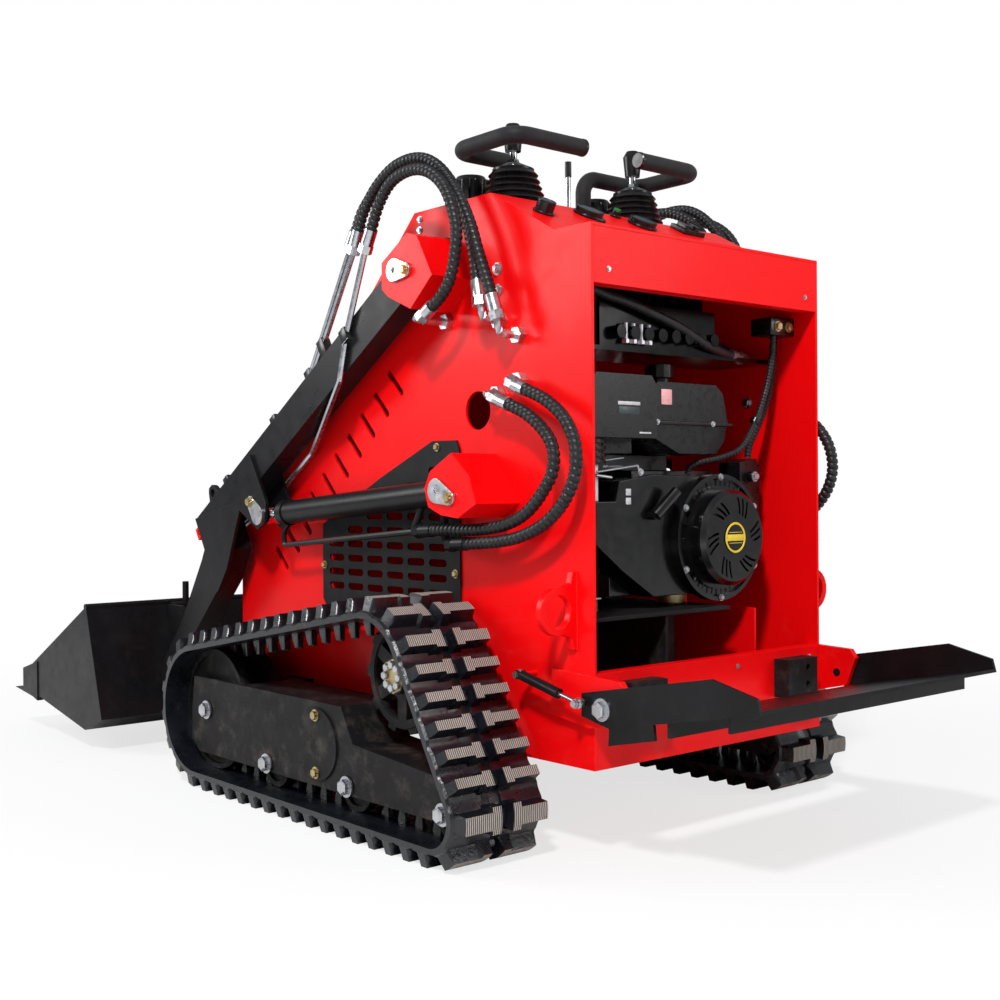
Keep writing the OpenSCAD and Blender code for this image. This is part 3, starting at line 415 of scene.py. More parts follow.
class LOADER_OT_finishes(Operator):
    """Build the finishes and give every carried-over solid its own"""

    bl_idname = "loader.finishes"
    bl_label = "Finishes"

    def execute(self, context):
        look = context.scene.loader_colours
        sizes = context.scene.loader_sizes
        FINISHES.update(
            red=red_coat(look),
            bracket_red=red_coat(look, "bracket_red_coat", 1.12),
            black=black_coat(look),
            arm_black=black_coat(look, "satin_black_coat", 0.06, 1100.0, (0.26, 0.38)),
            gloss=gloss_black(look),
            # Painted shade: a darker, duller copy of the gloss black enamel for the hydraulic pump, standing
            # in for the shadow under the header.
            shade=gloss_black(look, "painted_shade_black_enamel", 0.6, 0.12),
            plastic=moulded_plastic(look),
            foam=foam(look),
            rubber=track_rubber(look),
            worn=worn_rubber(look, sizes.ridge_pitch),
            hose=hose_rubber(look),
            zinc=zinc(look),
            yellow_zinc=zinc(look, "yellow_zinc", (0.62, 0.50, 0.26), (0.28, 0.46)),
            pipe=zinc(look, "brushed_pipe", (0.56, 0.58, 0.62), (0.2, 0.34)),
            alloy=cast_alloy(look),
            chrome=chrome(look),
            white_label=label(look, "bare_white_label", (0.62, 0.62, 0.64), (0.30, 0.30, 0.32)),
            pink_label=label(look, "bare_pink_label", (0.78, 0.42, 0.42), (0.70, 0.22, 0.24)),
            yellow_ring=label(look, "yellow_badge_ring", (0.80, 0.58, 0.03), (0.62, 0.42, 0.02)),
            glass=label(look, "dial_face", (0.02, 0.032, 0.036), (0.045, 0.065, 0.07)),
            green=label(look, "green_button", (0.01, 0.24, 0.05), (0.006, 0.12, 0.03)),
        )
        for finish, names in NODE_FINISH.items():
            for name in names.split():
                slots = NODES[name].data.materials
                slots.clear()
                slots.append(FINISHES[finish])
        return {"FINISHED"}


# Modelling helpers

FINISH_OF = {name: finish for finish, names in NODE_FINISH.items() for name in names.split()}


def piece(name, bm, finishes, body, replaced=(), sharp=35.0, weighted=False):
    """Turn a bmesh into a named piece that rides on a body."""
    mesh = bpy.data.meshes.new(name)
    bm.to_mesh(mesh)
    bm.free()
    made = bpy.data.objects.new(name, mesh)
    bpy.context.scene.collection.objects.link(made)
    for finish in finishes:
        mesh.materials.append(FINISHES[finish])
    mesh.shade_smooth()
    mesh.set_sharp_from_angle(angle=math.radians(sharp))
    if weighted:
        normals = made.modifiers.new("flat faces", "WEIGHTED_NORMAL")
        normals.keep_sharp = True
        normals.weight = 100
    if body:
        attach(made, body)
    if replaced:
        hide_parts(*replaced)
    return made


def aim(a, b):
    """Transform that puts the z axis on the line from a to b, at its middle."""
    a, b = Vector(a), Vector(b)
    return Matrix.Translation((a + b) / 2.0) @ (b - a).to_track_quat("Z", "Y").to_matrix().to_4x4()


def bar(bm, a, b, radius, sides=24, tip=None, mat=0):
    """Round bar or cone between two points."""
    made = bmesh.ops.create_cone(
        bm,
        cap_ends=True,
        segments=sides,
        radius1=radius,
        radius2=radius if tip is None else tip,
        depth=(Vector(b) - Vector(a)).length,
        matrix=aim(a, b),
    )["verts"]
    for face in {face for vert in made for face in vert.link_faces}:
        face.material_index = mat
    return made


def block(bm, low, high, ease=0.0, mat=0):
    """Box between two corners, with rounded edges."""
    low, high = Vector(low), Vector(high)
    size = Matrix.Diagonal((*(high - low), 1.0))
    made = bmesh.ops.create_cube(bm, size=1.0, matrix=Matrix.Translation((low + high) / 2.0) @ size)
    faces = {face for vert in made["verts"] for face in vert.link_faces}
    for face in faces:
        face.material_index = mat
    if ease:
        edges = list({edge for face in faces for edge in face.edges})
        bmesh.ops.bevel(bm, geom=edges, offset=ease, segments=2, profile=0.5, affect="EDGES",
                        material=-1)


def lathe(bm, profile, at, axis, steps=48, mat=0):
    """Turned shape: profile pairs of distance along the axis and radius; an end is closed only where the
    profile meets the axis.
    """
    turn = Matrix.Translation(at) @ Vector(axis).to_track_quat("Z", "Y").to_matrix().to_4x4()
    verts = [bm.verts.new(turn @ Vector((radius, 0.0, along))) for along, radius in profile]
    edges = [bm.edges.new(pair) for pair in zip(verts, verts[1:])]
    bmesh.ops.spin(
        bm,
        geom=verts + edges,
        cent=at,
        axis=Vector(axis).normalized(),
        angle=2.0 * math.pi,
        steps=steps,
        use_merge=True,
    )
    linked = {face for vert in verts for face in vert.link_faces}
    grown = set(linked)
    while linked:
        linked = {face for near in linked for edge in near.edges for face in edge.link_faces} - grown
        grown |= linked
    for face in grown:
        face.material_index = mat
    return grown


def tidy(bm, dist=0.00002):
    """Merge doubles and turn every face outwards."""
    bmesh.ops.remove_doubles(bm, verts=bm.verts, dist=dist)
    bmesh.ops.recalc_face_normals(bm, faces=bm.faces)


def copy_of(name):
    """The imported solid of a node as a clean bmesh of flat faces."""
    bm = bmesh.new()
    bm.from_mesh(NODES[name].data)
    bmesh.ops.remove_doubles(bm, verts=bm.verts, dist=0.00003)
    bmesh.ops.dissolve_limit(
        bm, angle_limit=math.radians(0.6), use_dissolve_boundaries=False, verts=bm.verts, edges=bm.edges
    )
    return bm


def round_edges(bm, width, angle=28.0, segments=2):
    edges = [e for e in bm.edges if len(e.link_faces) == 2 and e.calc_face_angle() > math.radians(angle)]
    bmesh.ops.bevel(
        bm,
        geom=edges,
        offset=width,
        segments=segments,
        profile=0.5,
        affect="EDGES",
        clamp_overlap=True,
        material=-1,
    )


class LOADER_OT_eased(Operator):
    """Redraw the plate and casting solids with rounded edges"""

    bl_idname = "loader.eased"
    bl_label = "Rounded plates and castings"

    def execute(self, context):
        width = context.scene.loader_sizes.edge
        for name, share in EASED.items():
            bm = copy_of(name)
            round_edges(bm, width * share)
            piece(
                name + "_eased", bm, (FINISH_OF[name],), BODY_OF[name], (name,), weighted=True
            )
        bm = copy_of("hood_panel")
        round_edges(bm, context.scene.loader_sizes.bend, 10.0, 3)
        piece("hood_folded", bm, ("red",), "chassis", ("hood_panel",), weighted=True)
        return {"FINISHED"}


# Rubber tracks: wheel centres and radii of the belt path, in the side plane

BELT_WHEELS = ((0.980, 0.165, 0.127), (0.360, 0.295, 0.108), (0.172, 0.088, 0.050))
BELT_HALF = 0.100
BELT_MIDDLE = 0.425
LUG_COUNT = 46


def belt_legs():
    """Arcs and runs of the belt path, in order: kind, length and what places a point on it."""
    count = len(BELT_WHEELS)
    leave = []
    for a, b in zip(BELT_WHEELS, BELT_WHEELS[1:] + BELT_WHEELS[:1]):
        dx, dz = b[0] - a[0], b[1] - a[1]
        leave.append(math.atan2(dz, dx) - math.asin((b[2] - a[2]) / math.hypot(dx, dz)))
    legs = []
    for i, (x, z, r) in enumerate(BELT_WHEELS):
        start = leave[i - 1] - math.pi / 2.0
        turn = (leave[i] - leave[i - 1]) % (2.0 * math.pi)
        legs.append(("arc", r * turn, (x, z, r, start)))
        after = BELT_WHEELS[(i + 1) % count]
        span = math.hypot(after[0] - x, after[1] - z)
        legs.append(("run", math.sqrt(span**2 - (after[2] - r) ** 2), (x, z, r, leave[i])))
    return legs


BELT_LEGS = belt_legs()
BELT_LENGTH = sum(leg[1] for leg in BELT_LEGS)


def on_belt(s, out):
    """Point in the side plane at distance s along the belt path and out of it."""
    s %= BELT_LENGTH
    for kind, length, (x, z, r, angle) in BELT_LEGS:
        if s <= length:
            break
        s -= length
    if kind == "arc":
        angle += s / r
        return x + (r + out) * math.cos(angle), z + (r + out) * math.sin(angle)
    side = angle - math.pi / 2.0
    return (
        x + (r + out) * math.cos(side) + s * math.cos(angle),
        z + (r + out) * math.sin(side) + s * math.sin(angle),
    )


# Grid lines of one pitch of tread, in mm: along the belt and across it
TREAD_ALONG = (0, 5, 10, 15, 17, 18.5, 20, 24, 30, 36, 42, 48, 52, 53.5, 55, 57, 62, 67, 72)
TREAD_ACROSS = (0, 3, 6, 8, 9.5, 13, 18, 24, 31, 36, 44, 54, 64, 74, 82, 89, 95, 97.5, 100)


def rise(value, low, high):
    return min(1.0, max(0.0, (value - low) / (high - low)))


def tread_height(along, across):
    """Height of the tread above the belt's inner face, in mm."""
    away, side = abs(along - 36.0), abs(across)
    inner = rise(side, 9.5, 13.0)
    head = min(rise(24.0 - away, 0.0, 5.0), inner, rise(36.0 - side, 0.0, 5.0))
    bar_lug = min(rise(18.5 - away, 0.0, 6.5), inner, rise(95.0 - side, 0.0, 6.0))
    lug = max(head, bar_lug)
    if side < 9.0:
        low_block = min(rise(17.0 - away, 0.0, 2.0), rise(8.0 - side, 0.0, 2.0))
        return 10.0 + 12.0 * low_block
    skirt = 14.0 - 2.6 * math.sin(math.pi * rise(away, 20.0, 36.0) / 2.0) * rise(side, 13.0, 30.0)
    edge = 3.0 * rise(side, 95.0, 100.0)
    return skirt - edge + (38.0 - skirt) * lug


def tread_cell():
    """One pitch of the track, laid flat: x along the belt, y across it, z out of it."""
    bm = bmesh.new()
    across = [-v for v in reversed(TREAD_ACROSS[1:])] + list(TREAD_ACROSS)
    bmesh.ops.create_grid(bm, x_segments=len(TREAD_ALONG) - 1, y_segments=len(across) - 1, size=0.5)
    columns, rows = len(TREAD_ALONG) - 1, len(across) - 1
    for vert in bm.verts:
        along = TREAD_ALONG[round((vert.co.x + 0.5) * columns)]
        side = across[round((vert.co.y + 0.5) * rows)]
        vert.co = Vector((along, side, tread_height(along, side))) / 1000.0
    for face in bm.faces:
        face.material_index = int(all(vert.co.z > 0.0379 for vert in face.verts))
    rims = [e for e in bm.edges if e.is_boundary and all(abs(abs(v.co.y) - 0.1) < 1e-5 for v in e.verts)]
    grown = bmesh.ops.extrude_edge_only(bm, edges=rims)["geom"]
    low = [item for item in grown if isinstance(item, bmesh.types.BMVert)]
    for vert in low:
        vert.co.z = 0.0
    inner = [item for item in grown if isinstance(item, bmesh.types.BMEdge)]
    inner = [e for e in inner if all(v.co.z == 0.0 for v in e.verts)]
    bmesh.ops.bridge_loops(bm, edges=inner)
    for side in (-0.0185, 0.0185):
        tooth = bmesh.ops.create_cube(bm, size=1.0)["verts"]
        for vert in tooth:
            tip = vert.co.z < 0.0
            vert.co = Vector(
                (
                    0.036 + vert.co.x * (0.020 if tip else 0.036),
                    side + vert.co.y * (0.008 if tip else 0.010),
                    -0.028 if tip else 0.003,
                )
            )
        edges = list({e for v in tooth for e in v.link_edges if e.calc_length() < 0.034})
        bmesh.ops.bevel(bm, geom=edges, offset=0.0022, segments=2, profile=0.5, affect="EDGES",
                        material=-1)
    return bm


class LOADER_OT_tracks(Operator):
    """Lay the tread cells along the belt path on both sides"""

    bl_idname = "loader.tracks"
    bl_label = "Rubber tracks"

    def execute(self, context):
        cell = bpy.data.meshes.new("tread_cell")
        flat = tread_cell()
        flat.to_mesh(cell)
        flat.free()
        pitch = BELT_LENGTH / LUG_COUNT
        stretch = pitch / 0.072
        for side, sign in (("left", 1.0), ("right", -1.0)):
            bm = bmesh.new()
            for i in range(LUG_COUNT):
                before = len(bm.verts)
                bm.from_mesh(cell)
                bm.verts.ensure_lookup_table()
                for vert in bm.verts[before:]:
                    x, z = on_belt(i * pitch + vert.co.x * stretch, vert.co.z)
                    vert.co = place(x, sign * BELT_MIDDLE + vert.co.y, z)
            tidy(bm, 0.0001)
            piece("track_tread_" + side, bm, ("rubber", "worn"), "chassis",
                  ("rubber_track_" + side,), sharp=28.0)
        bpy.data.meshes.remove(cell)
        return {"FINISHED"}


# Hoses: points from the arm or the plate, each x, distance from the side plate and z in mm

PLATE_Y = 0.308
UPPER_HOSES = (
    ((581, 60, 1133), (566, 59, 1165), (524, 58, 1207), (463, 57, 1236), (395, 56, 1238),
     (339, 55, 1214), (290, 54, 1165), (252, 53, 1103), (228, 52, 1043), (203, 51, 985),
     (196, 50, 964)),
    ((504, 84, 1121), (478, 84, 1165), (437, 84, 1199), (378, 83, 1209), (322, 83, 1193),
     (277, 83, 1153), (251, 83, 1088), (258, 82, 1030), (274, 82, 992), (298, 82, 968),
     (322, 82, 955)),
    ((627, 36, 1140), (603, 34, 1180), (553, 33, 1215), (488, 32, 1234), (417, 31, 1232),
     (358, 31, 1207), (315, 32, 1166), (280, 34, 1104), (258, 38, 1048), (244, 42, 995)),
)
LOWER_HOSES = (
    ((167, 37, 773), (124, 37, 756), (86, 38, 732), (60, 39, 706), (51, 40, 680),
     (55, 42, 650), (76, 44, 620), (110, 46, 589), (154, 48, 569), (207, 50, 559), (270, 51, 555),
     (322, 52, 555), (363, 52, 553)),
    ((123, 37, 796), (78, 37, 778), (37, 38, 752), (12, 39, 724), (-1, 40, 694),
     (-3, 42, 659), (9, 44, 624), (35, 46, 592), (76, 48, 564), (130, 50, 545), (186, 51, 536),
     (228, 52, 533), (266, 52, 531)),
)


def smooth_path(points, step):
    """Points a step apart on the smooth curve through the given points."""
    ends = [points[0] * 2.0 - points[1], *points, points[-1] * 2.0 - points[-2]]
    fine = []
    for p0, p1, p2, p3 in zip(ends, ends[1:], ends[2:], ends[3:]):
        for k in range(24):
            t = k / 24.0
            fine.append(
                0.5
                * (
                    2.0 * p1
                    + (p2 - p0) * t
                    + (2.0 * p0 - 5.0 * p1 + 4.0 * p2 - p3) * t**2
                    + (3.0 * p1 - p0 - 3.0 * p2 + p3) * t**3
                )
            )
    fine.append(points[-1])
    path, walked = [fine[0]], 0.0
    for a, b in zip(fine, fine[1:]):
        length = (b - a).length
        while length > 0.0 and walked + length >= step:
            a = a.lerp(b, (step - walked) / length)
            path.append(a)
            length = (b - a).length
            walked = 0.0
        walked += length
    if (path[-1] - fine[-1]).length > step * 0.5:
        path.append(fine[-1])
    return path


def wrapped_hose(bm, points, radius, wrap, pitch, sides=16, turn=1.0):
    """Hose in a spiral guard: rings along the path whose radius rises where the guard lies."""
    step = pitch / 12.0
    path = smooth_path(points, step)
    normal = (path[1] - path[0]).orthogonal().normalized()
    rings = []
    for i, at in enumerate(path):
        ahead = (path[min(i + 1, len(path) - 1)] - path[max(i - 1, 0)]).normalized()
        normal = (normal - ahead * normal.dot(ahead)).normalized()
        side = ahead.cross(normal)
        ring = []
        for k in range(sides):
            angle = 2.0 * math.pi * k / sides
            place_in_turn = (turn * k / sides + i * step / pitch) % 1.0
            out = rise(place_in_turn, 0.0, 0.16) * rise(0.84 - place_in_turn, 0.0, 0.16)
            spoke = normal * math.cos(angle) + side * math.sin(angle)
            ring.append(bm.verts.new(at + spoke * (radius - wrap + wrap * out)))
        rings.append(ring)
    for a, b in zip(rings, rings[1:]):
        for k in range(sides):
            bm.faces.new((a[k], a[(k + 1) % sides], b[(k + 1) % sides], b[k]))
    bm.faces.new(reversed(rings[0]))
    bm.faces.new(rings[-1])


class LOADER_OT_hoses(Operator):
    """Run the guarded hoses of both sides"""

    bl_idname = "loader.hoses"
    bl_label = "Hoses and leads"

    def execute(self, context):
        sizes = context.scene.loader_sizes
        for name, node, routes, start, end, moved in (
            ("upper_hose", "upper_hoses", UPPER_HOSES, (0.24, 1.02), (0.56, 1.15), "arms"),
            ("lower_hose", "lower_hoses", LOWER_HOSES, (0.11, 0.74), (0.30, 0.56), "lift_barrel"),
        ):
            for side, sign in (("left", 1.0), ("right", -1.0)):
                for letter, route in zip("abc", routes):
                    points = [
                        place(x / 1000.0, sign * (PLATE_Y + out / 1000.0), z / 1000.0)
                        for x, out, z in route
                    ]
                    bm = bmesh.new()
                    wrapped_hose(bm, points, 0.011, sizes.wrap_height, sizes.wrap_pitch)
                    tidy(bm, 0.00001)
                    made = piece(f"{name}_{side}_{letter}", bm, ("hose",), None,
                                 (node,), sharp=50.0)
                    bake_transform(made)
        return {"FINISHED"}


# Bolts and small metal parts, in mm from the rear face, the middle and the ground


def mm(x, y, z):
    return place(x / 1000.0, y / 1000.0, z / 1000.0)


def bolt(bm, at, axis, radius, washer=1.35, mat=0):
    """Hexagon bolt head on a washer: at is where the washer sits."""
    at, axis = Vector(at), Vector(axis).normalized()
    radius /= 1000.0
    foot = 0.0
    if washer:
        foot = radius * 0.22
        bar(bm, at, at + axis * foot, radius * washer, 24, mat=mat)
    crown = foot + radius * 0.62
    bar(bm, at + axis * foot, at + axis * crown, radius, 6, mat=mat)
    bar(bm, at + axis * crown, at + axis * (crown + radius * 0.14), radius * 0.96, 6, radius * 0.8, mat)


# Bolts on both sides: x, y, z, size across, finish and the body they ride on
SIDE_BOLTS = (
    (980, 492, 165, 14.5, "zinc", "chassis"),
    (172, 492, 88, 14.5, "zinc", "chassis"),
    (455, 492, 88, 14.5, "zinc", "chassis"),
    (736, 492, 88, 14.5, "zinc", "chassis"),
    (555, 494, 98, 8.5, "yellow_zinc", "chassis"),
    (555, 494, 206, 8.5, "yellow_zinc", "chassis"),
    (411, 312, 707, 6, "yellow_zinc", "chassis"),
    (797, 312, 472, 6, "yellow_zinc", "chassis"),
    (358, 312, 471, 6, "yellow_zinc", "chassis"),
    (236, 308, 1019, 8.5, "zinc", "chassis"),
    (236, 308, 981, 8.5, "zinc", "chassis"),
    (463, 308, 1143, 5, "zinc", "chassis"),
    (464, 308, 1123, 5, "zinc", "chassis"),
    (382, 406.3, 1027, 8.6, "yellow_zinc", "chassis"),
    (249, 414.3, 612, 8.6, "yellow_zinc", "chassis"),
    (955, 399.3, 604, 8.6, "yellow_zinc", "arms"),
    (-39, 329, 269, 14, "zinc", "step"),
)
REAR_BOLTS = (
    (-0.2, 276, 300, 3.6),
    (-0.2, -60, 300, 3.6),
    (-0.2, -276, 300, 3.6),
    (-0.2, -268, 992, 3.6),
    (-0.2, 268, 992, 3.6),
)


class LOADER_OT_bolts(Operator):
    """Set the bolts, nuts and ball ends"""

    bl_idname = "loader.bolts"
    bl_label = "Bolts"

    def execute(self, context):
        groups = {}
        for x, y, z, size, finish, body in SIDE_BOLTS:
            bm = groups.setdefault((finish, body), bmesh.new())
            for sign in (1.0, -1.0):
                bolt(bm, mm(x, sign * y, z), (0.0, sign, 0.0), size)
        hub = groups[("zinc", "chassis")]
        for k in range(8):
            turn = 2.0 * math.pi * k / 8.0
            for sign in (1.0, -1.0):
                at = mm(360 + 21 * math.cos(turn), sign * 457, 295 + 21 * math.sin(turn))
                bolt(hub, at, (0.0, sign, 0.0), 7.6, 0.0)
        for x, y, z, size in REAR_BOLTS:
            bolt(groups[("zinc", "chassis")], mm(x, y, z), (-1.0, 0.0, 0.0), size)
        cover = groups[("yellow_zinc", "chassis")]
        for sign in (1.0, -1.0):
            bar(cover, mm(360, sign * 454.5, 295), mm(360, sign * 455.7, 295), 0.0312, 8)
        for (finish, body), bm in groups.items():
            piece(f"bolts_{finish}_{body}", bm, (finish,), body)
        for name, x, z, body in (("ball_low", 0, 277, "spring_rod"), ("ball_high", 143, 310, "spring_barrel")):
            bm = bmesh.new()
            for sign in (1.0, -1.0):
                at = mm(x, sign * 345, z)
                bmesh.ops.create_uvsphere(bm, u_segments=24, v_segments=16, radius=0.0095,
                                          matrix=Matrix.Translation(at))
                bar(bm, at + Vector((0, sign * 0.008, 0)), at + Vector((0, sign * 0.013, 0)), 0.006, 6)
            piece(name, bm, ("zinc",), body)
        return {"FINISHED"}


# Clamps on the arm: distance along it, y from and to, height from and to over its middle line
CLAMPS = (
    (0.304, 0.358, 0.378, 0.0285, 0.070),
    (0.405, 0.3343, 0.354, 0.0285, 0.070),
    (0.540, 0.336, 0.376, 0.0285, 0.046),
    (0.780, 0.336, 0.376, 0.0285, 0.046),
    (0.203, 0.3853, 0.400, -0.010, 0.018),
)
ARM_PIVOT = place(0.418, 0.0, 1.031)
ARM_END = place(1.207, 0.0, 0.542)


def arm_axes():
    along = (ARM_END - ARM_PIVOT).normalized()
    return along, Vector((-along.z, 0.0, along.x))


# Engine

SHAFT = (-105.0, 533.0)


def bead(bm, points, radius, step=0.003, mat=0):
    """Weld bead: a row of overlapping drops along the points."""
    for a, b in zip(points, points[1:]):
        a, b = Vector(a), Vector(b)
        count = max(int((b - a).length / step), 1)
        for k in range(count):
            at = a.lerp(b, (k + 0.5) / count)
            bmesh.ops.create_uvsphere(bm, u_segments=8, v_segments=6, radius=radius,
                                      matrix=Matrix.Translation(at) @ (b - a).to_track_quat("Z", "Y")
                                      .to_matrix().to_4x4() @ Matrix.Scale(0.72, 4, (0, 0, 1)))
    for face in bm.faces:
        face.material_index = mat


# Welded feet on the side plates, in mm
WELD_LINES = (
    ((39.2, 357), (39.2, 489)),
    ((54.8, 357), (54.8, 489)),
    ((374, 955), (309, 1009), (353, 1086), (383, 1095)),
)


class LOADER_OT_welds(Operator):
    """Lay weld beads on the body, and hold the lock handles of the hitch"""

    bl_idname = "loader.welds"
    bl_label = "Welds and lock bars"

    def execute(self, context):
        bm = bmesh.new()
        for sign in (1.0, -1.0):
            for line in WELD_LINES:
                bead(bm, [mm(x, sign * 308.5, z) for x, z in line], 0.0024)
        piece("body_welds", bm, ("red",), "chassis", sharp=80.0)
        bm = bmesh.new()
        for sign in (1.0, -1.0):
            bar(bm, mm(1518.8, sign * 240.2, 341), mm(1518.8, sign * 303.8, 341), 0.0085, 20)
        piece("hitch_lock_bars", bm, ("arm_black",), BODY_OF["quick_hitch"])
        return {"FINISHED"}


class LOADER_OT_clamps(Operator):
    """Cover the pipe clamps of both arms in black and bolt them down"""

    bl_idname = "loader.clamps"
    bl_label = "Pipe clamps"

    def execute(self, context):
        along, over = arm_axes()
        bm = bmesh.new()
        for sign in (1.0, -1.0):
            for run, low, high, foot, top in CLAMPS:
                part = bmesh.new()
                block(part, (-0.0116, low - 0.0006, foot), (0.0116, high + 0.0006, top + 0.0006), 0.002)
                for y in (low + 0.005, high - 0.005):
                    bolt(part, (0.0, y, top + 0.0006), (0.0, 0.0, 1.0), 3.6, 0.0)
                at = ARM_PIVOT + along * run
                turn = Matrix((along, (0.0, 1.0, 0.0), over)).transposed().to_4x4()
                bmesh.ops.transform(part, matrix=Matrix.Translation(at) @ turn, verts=part.verts)
                if sign < 0.0:
                    bmesh.ops.transform(part, matrix=Matrix.Scale(-1.0, 4, (0, 1, 0)), verts=part.verts)
                    bmesh.ops.reverse_faces(part, faces=part.faces)
                spare = bpy.data.meshes.new("clamp")
                part.to_mesh(spare)
                part.free()
                bm.from_mesh(spare)
                bpy.data.meshes.remove(spare)
        piece("pipe_clamps", bm, ("plastic",), "arms")
        return {"FINISHED"}


class LOADER_OT_engine(Operator):
    """Dress the engine: badge, labels, linkage, mounts and bolts"""

    bl_idname = "loader.engine"
    bl_label = "Engine details"

    def execute(self, context):
        self.badge()
        self.labels()
        self.linkage()
        self.mounts()
        self.housing_bolts()
        return {"FINISHED"}

    def badge(self):
        y, z = SHAFT
        bm = bmesh.new()
        lathe(bm, ((0.0, 0.0245), (0.0008, 0.0252), (0.0008, 0.0282), (0.0, 0.0289)), mm(40, y, z),
              (-1.0, 0.0, 0.0), 64)
        block(bm, mm(39.3, y - 24, z - 6), mm(40, y + 24, z + 6), 0.0002)
        for side in (-10, 10):
            block(bm, mm(39.4, y - 18, z + side - 0.5), mm(40, y + 18, z + side + 0.5))
        piece("engine_badge", bm, ("yellow_ring",), "chassis")

    def labels(self):
        bm = bmesh.new()
        block(bm, mm(69.4, 120, 774), mm(70, 176, 780), 0.0002)
        block(bm, mm(69.4, 122, 758), mm(70, 174, 771), 0.0002, 1)
        for low in (598, 614):
            block(bm, mm(95.4, 118, low), mm(96, 131, low + 12), 0.0002)
        block(bm, mm(69.3, 92, 724), mm(70, 122, 727), 0.0002)
        piece("blank_labels", bm, ("white_label", "glass"), "chassis")
        bm = bmesh.new()
        block(bm, mm(89.4, 14, 780), mm(90, 42, 808), 0.0002)
        piece("tank_label", bm, ("pink_label",), "chassis")

    def linkage(self):
        bm = bmesh.new()
        bar(bm, mm(100, 200, 656), mm(100, 96, 668), 0.0022, 10)
        bar(bm, mm(100, 96, 668), mm(100, 92, 656), 0.0022, 10)
        bar(bm, mm(112, 196, 674), mm(112, 120, 682), 0.0018, 10)
        bar(bm, mm(88, 214, 650), mm(88, 176, 646), 0.003, 12)
        for k in range(15):
            a = mm(108, 176 - k * 3.2, 664 + 3.5 * (k % 2))
            bar(bm, a, mm(108, 172.8 - k * 3.2, 664 + 3.5 * ((k + 1) % 2)), 0.001, 8)
        bolt(bm, mm(97, 92, 656), (-1.0, 0.0, 0.0), 5)
        bolt(bm, mm(99.6, 232, 618), (-1.0, 0.0, 0.0), 7)
        piece("throttle_linkage", bm, ("zinc",), "chassis")

    def mounts(self):
        bm = bmesh.new()
        for x in (150, 370):
            for y in (-50, 190):
                lathe(
                    bm,
                    ((0.0, 0.0), (0.0, 0.0285), (0.003, 0.0300), (0.006, 0.0285), (0.020, 0.0285),
                     (0.0218, 0.0265), (0.0218, 0.0)),
                    mm(x, y, 406.2), (0.0, 0.0, 1.0),
                )
        piece("mount_cups", bm, ("yellow_zinc",), "chassis")
        bm = bmesh.new()
        for x in (150, 370):
            block(bm, mm(x - 28, 168, 428.2), mm(x + 26, 214, 432), 0.001)
            bolt(bm, mm(x, 190, 432), (0.0, 0.0, 1.0), 12)
            bar(bm, mm(x, 190, 440), mm(x, 190, 462), 0.006, 16)
        piece("mount_feet", bm, ("alloy",), "chassis")

    def housing_bolts(self):
        y, z = SHAFT
        bm = bmesh.new()
        for k in range(6):
            turn = math.radians(30.0 + 60.0 * k)
            at = mm(75.7, y + 114 * math.cos(turn), z + 114 * math.sin(turn))
            bolt(bm, at, (-1.0, 0.0, 0.0), 5, 1.3)
        for side in (-94, 60):
            bolt(bm, mm(84, side, 747), (-1.0, 0.0, 0.0), 4)
        bolt(bm, mm(84, -218, 648), (-1.0, 0.0, 0.0), 7, 1.4)
        bolt(bm, mm(168, -301.7, 799), (0.0, 1.0, 0.0), 9, 1.3)
        piece("engine_bolts", bm, ("zinc",), "chassis")
        bm = bmesh.new()
        bar(bm, mm(96, 67, 577), mm(80, 67, 577), 0.008, 20)
        for k in range(24):
            turn = math.radians(15.0 * k)
            ends = [mm(75.6, y + r * math.cos(turn), z + r * math.sin(turn)) for r in (97.0, 109.0)]
            bar(bm, *ends, 0.0014, 8)
        piece("housing_ribs", bm, ("gloss",), "chassis")


BAY_HOSE = ((172, -286, 893), (172, -250, 898), (170, -210, 910), (166, -170, 918), (165, -120.3, 918))
# Hose under the header, and its steel end
HEADER_HOSE = ((86, 262, 984), (86, 190, 968), (86, 140, 960), (86, 86, 948), (86, 0, 925), (90, -77, 899),
               (100, -140, 887), (108, -176, 884))
BAY_LEADS = (
    ((62, -250, 922.7), (63, -246, 880), (64, -234, 830), (64, -212, 780), (62, -180, 735),
     (64, -148, 700), (82, -115, 684), (104, -82, 676), (117, -66, 666), (120, -62, 652)),
    ((84, -280, 922.7), (84, -278, 880), (84, -270, 830), (88, -254, 780), (96, -238, 740),
     (106, -230, 710), (110, -228, 685)),
)


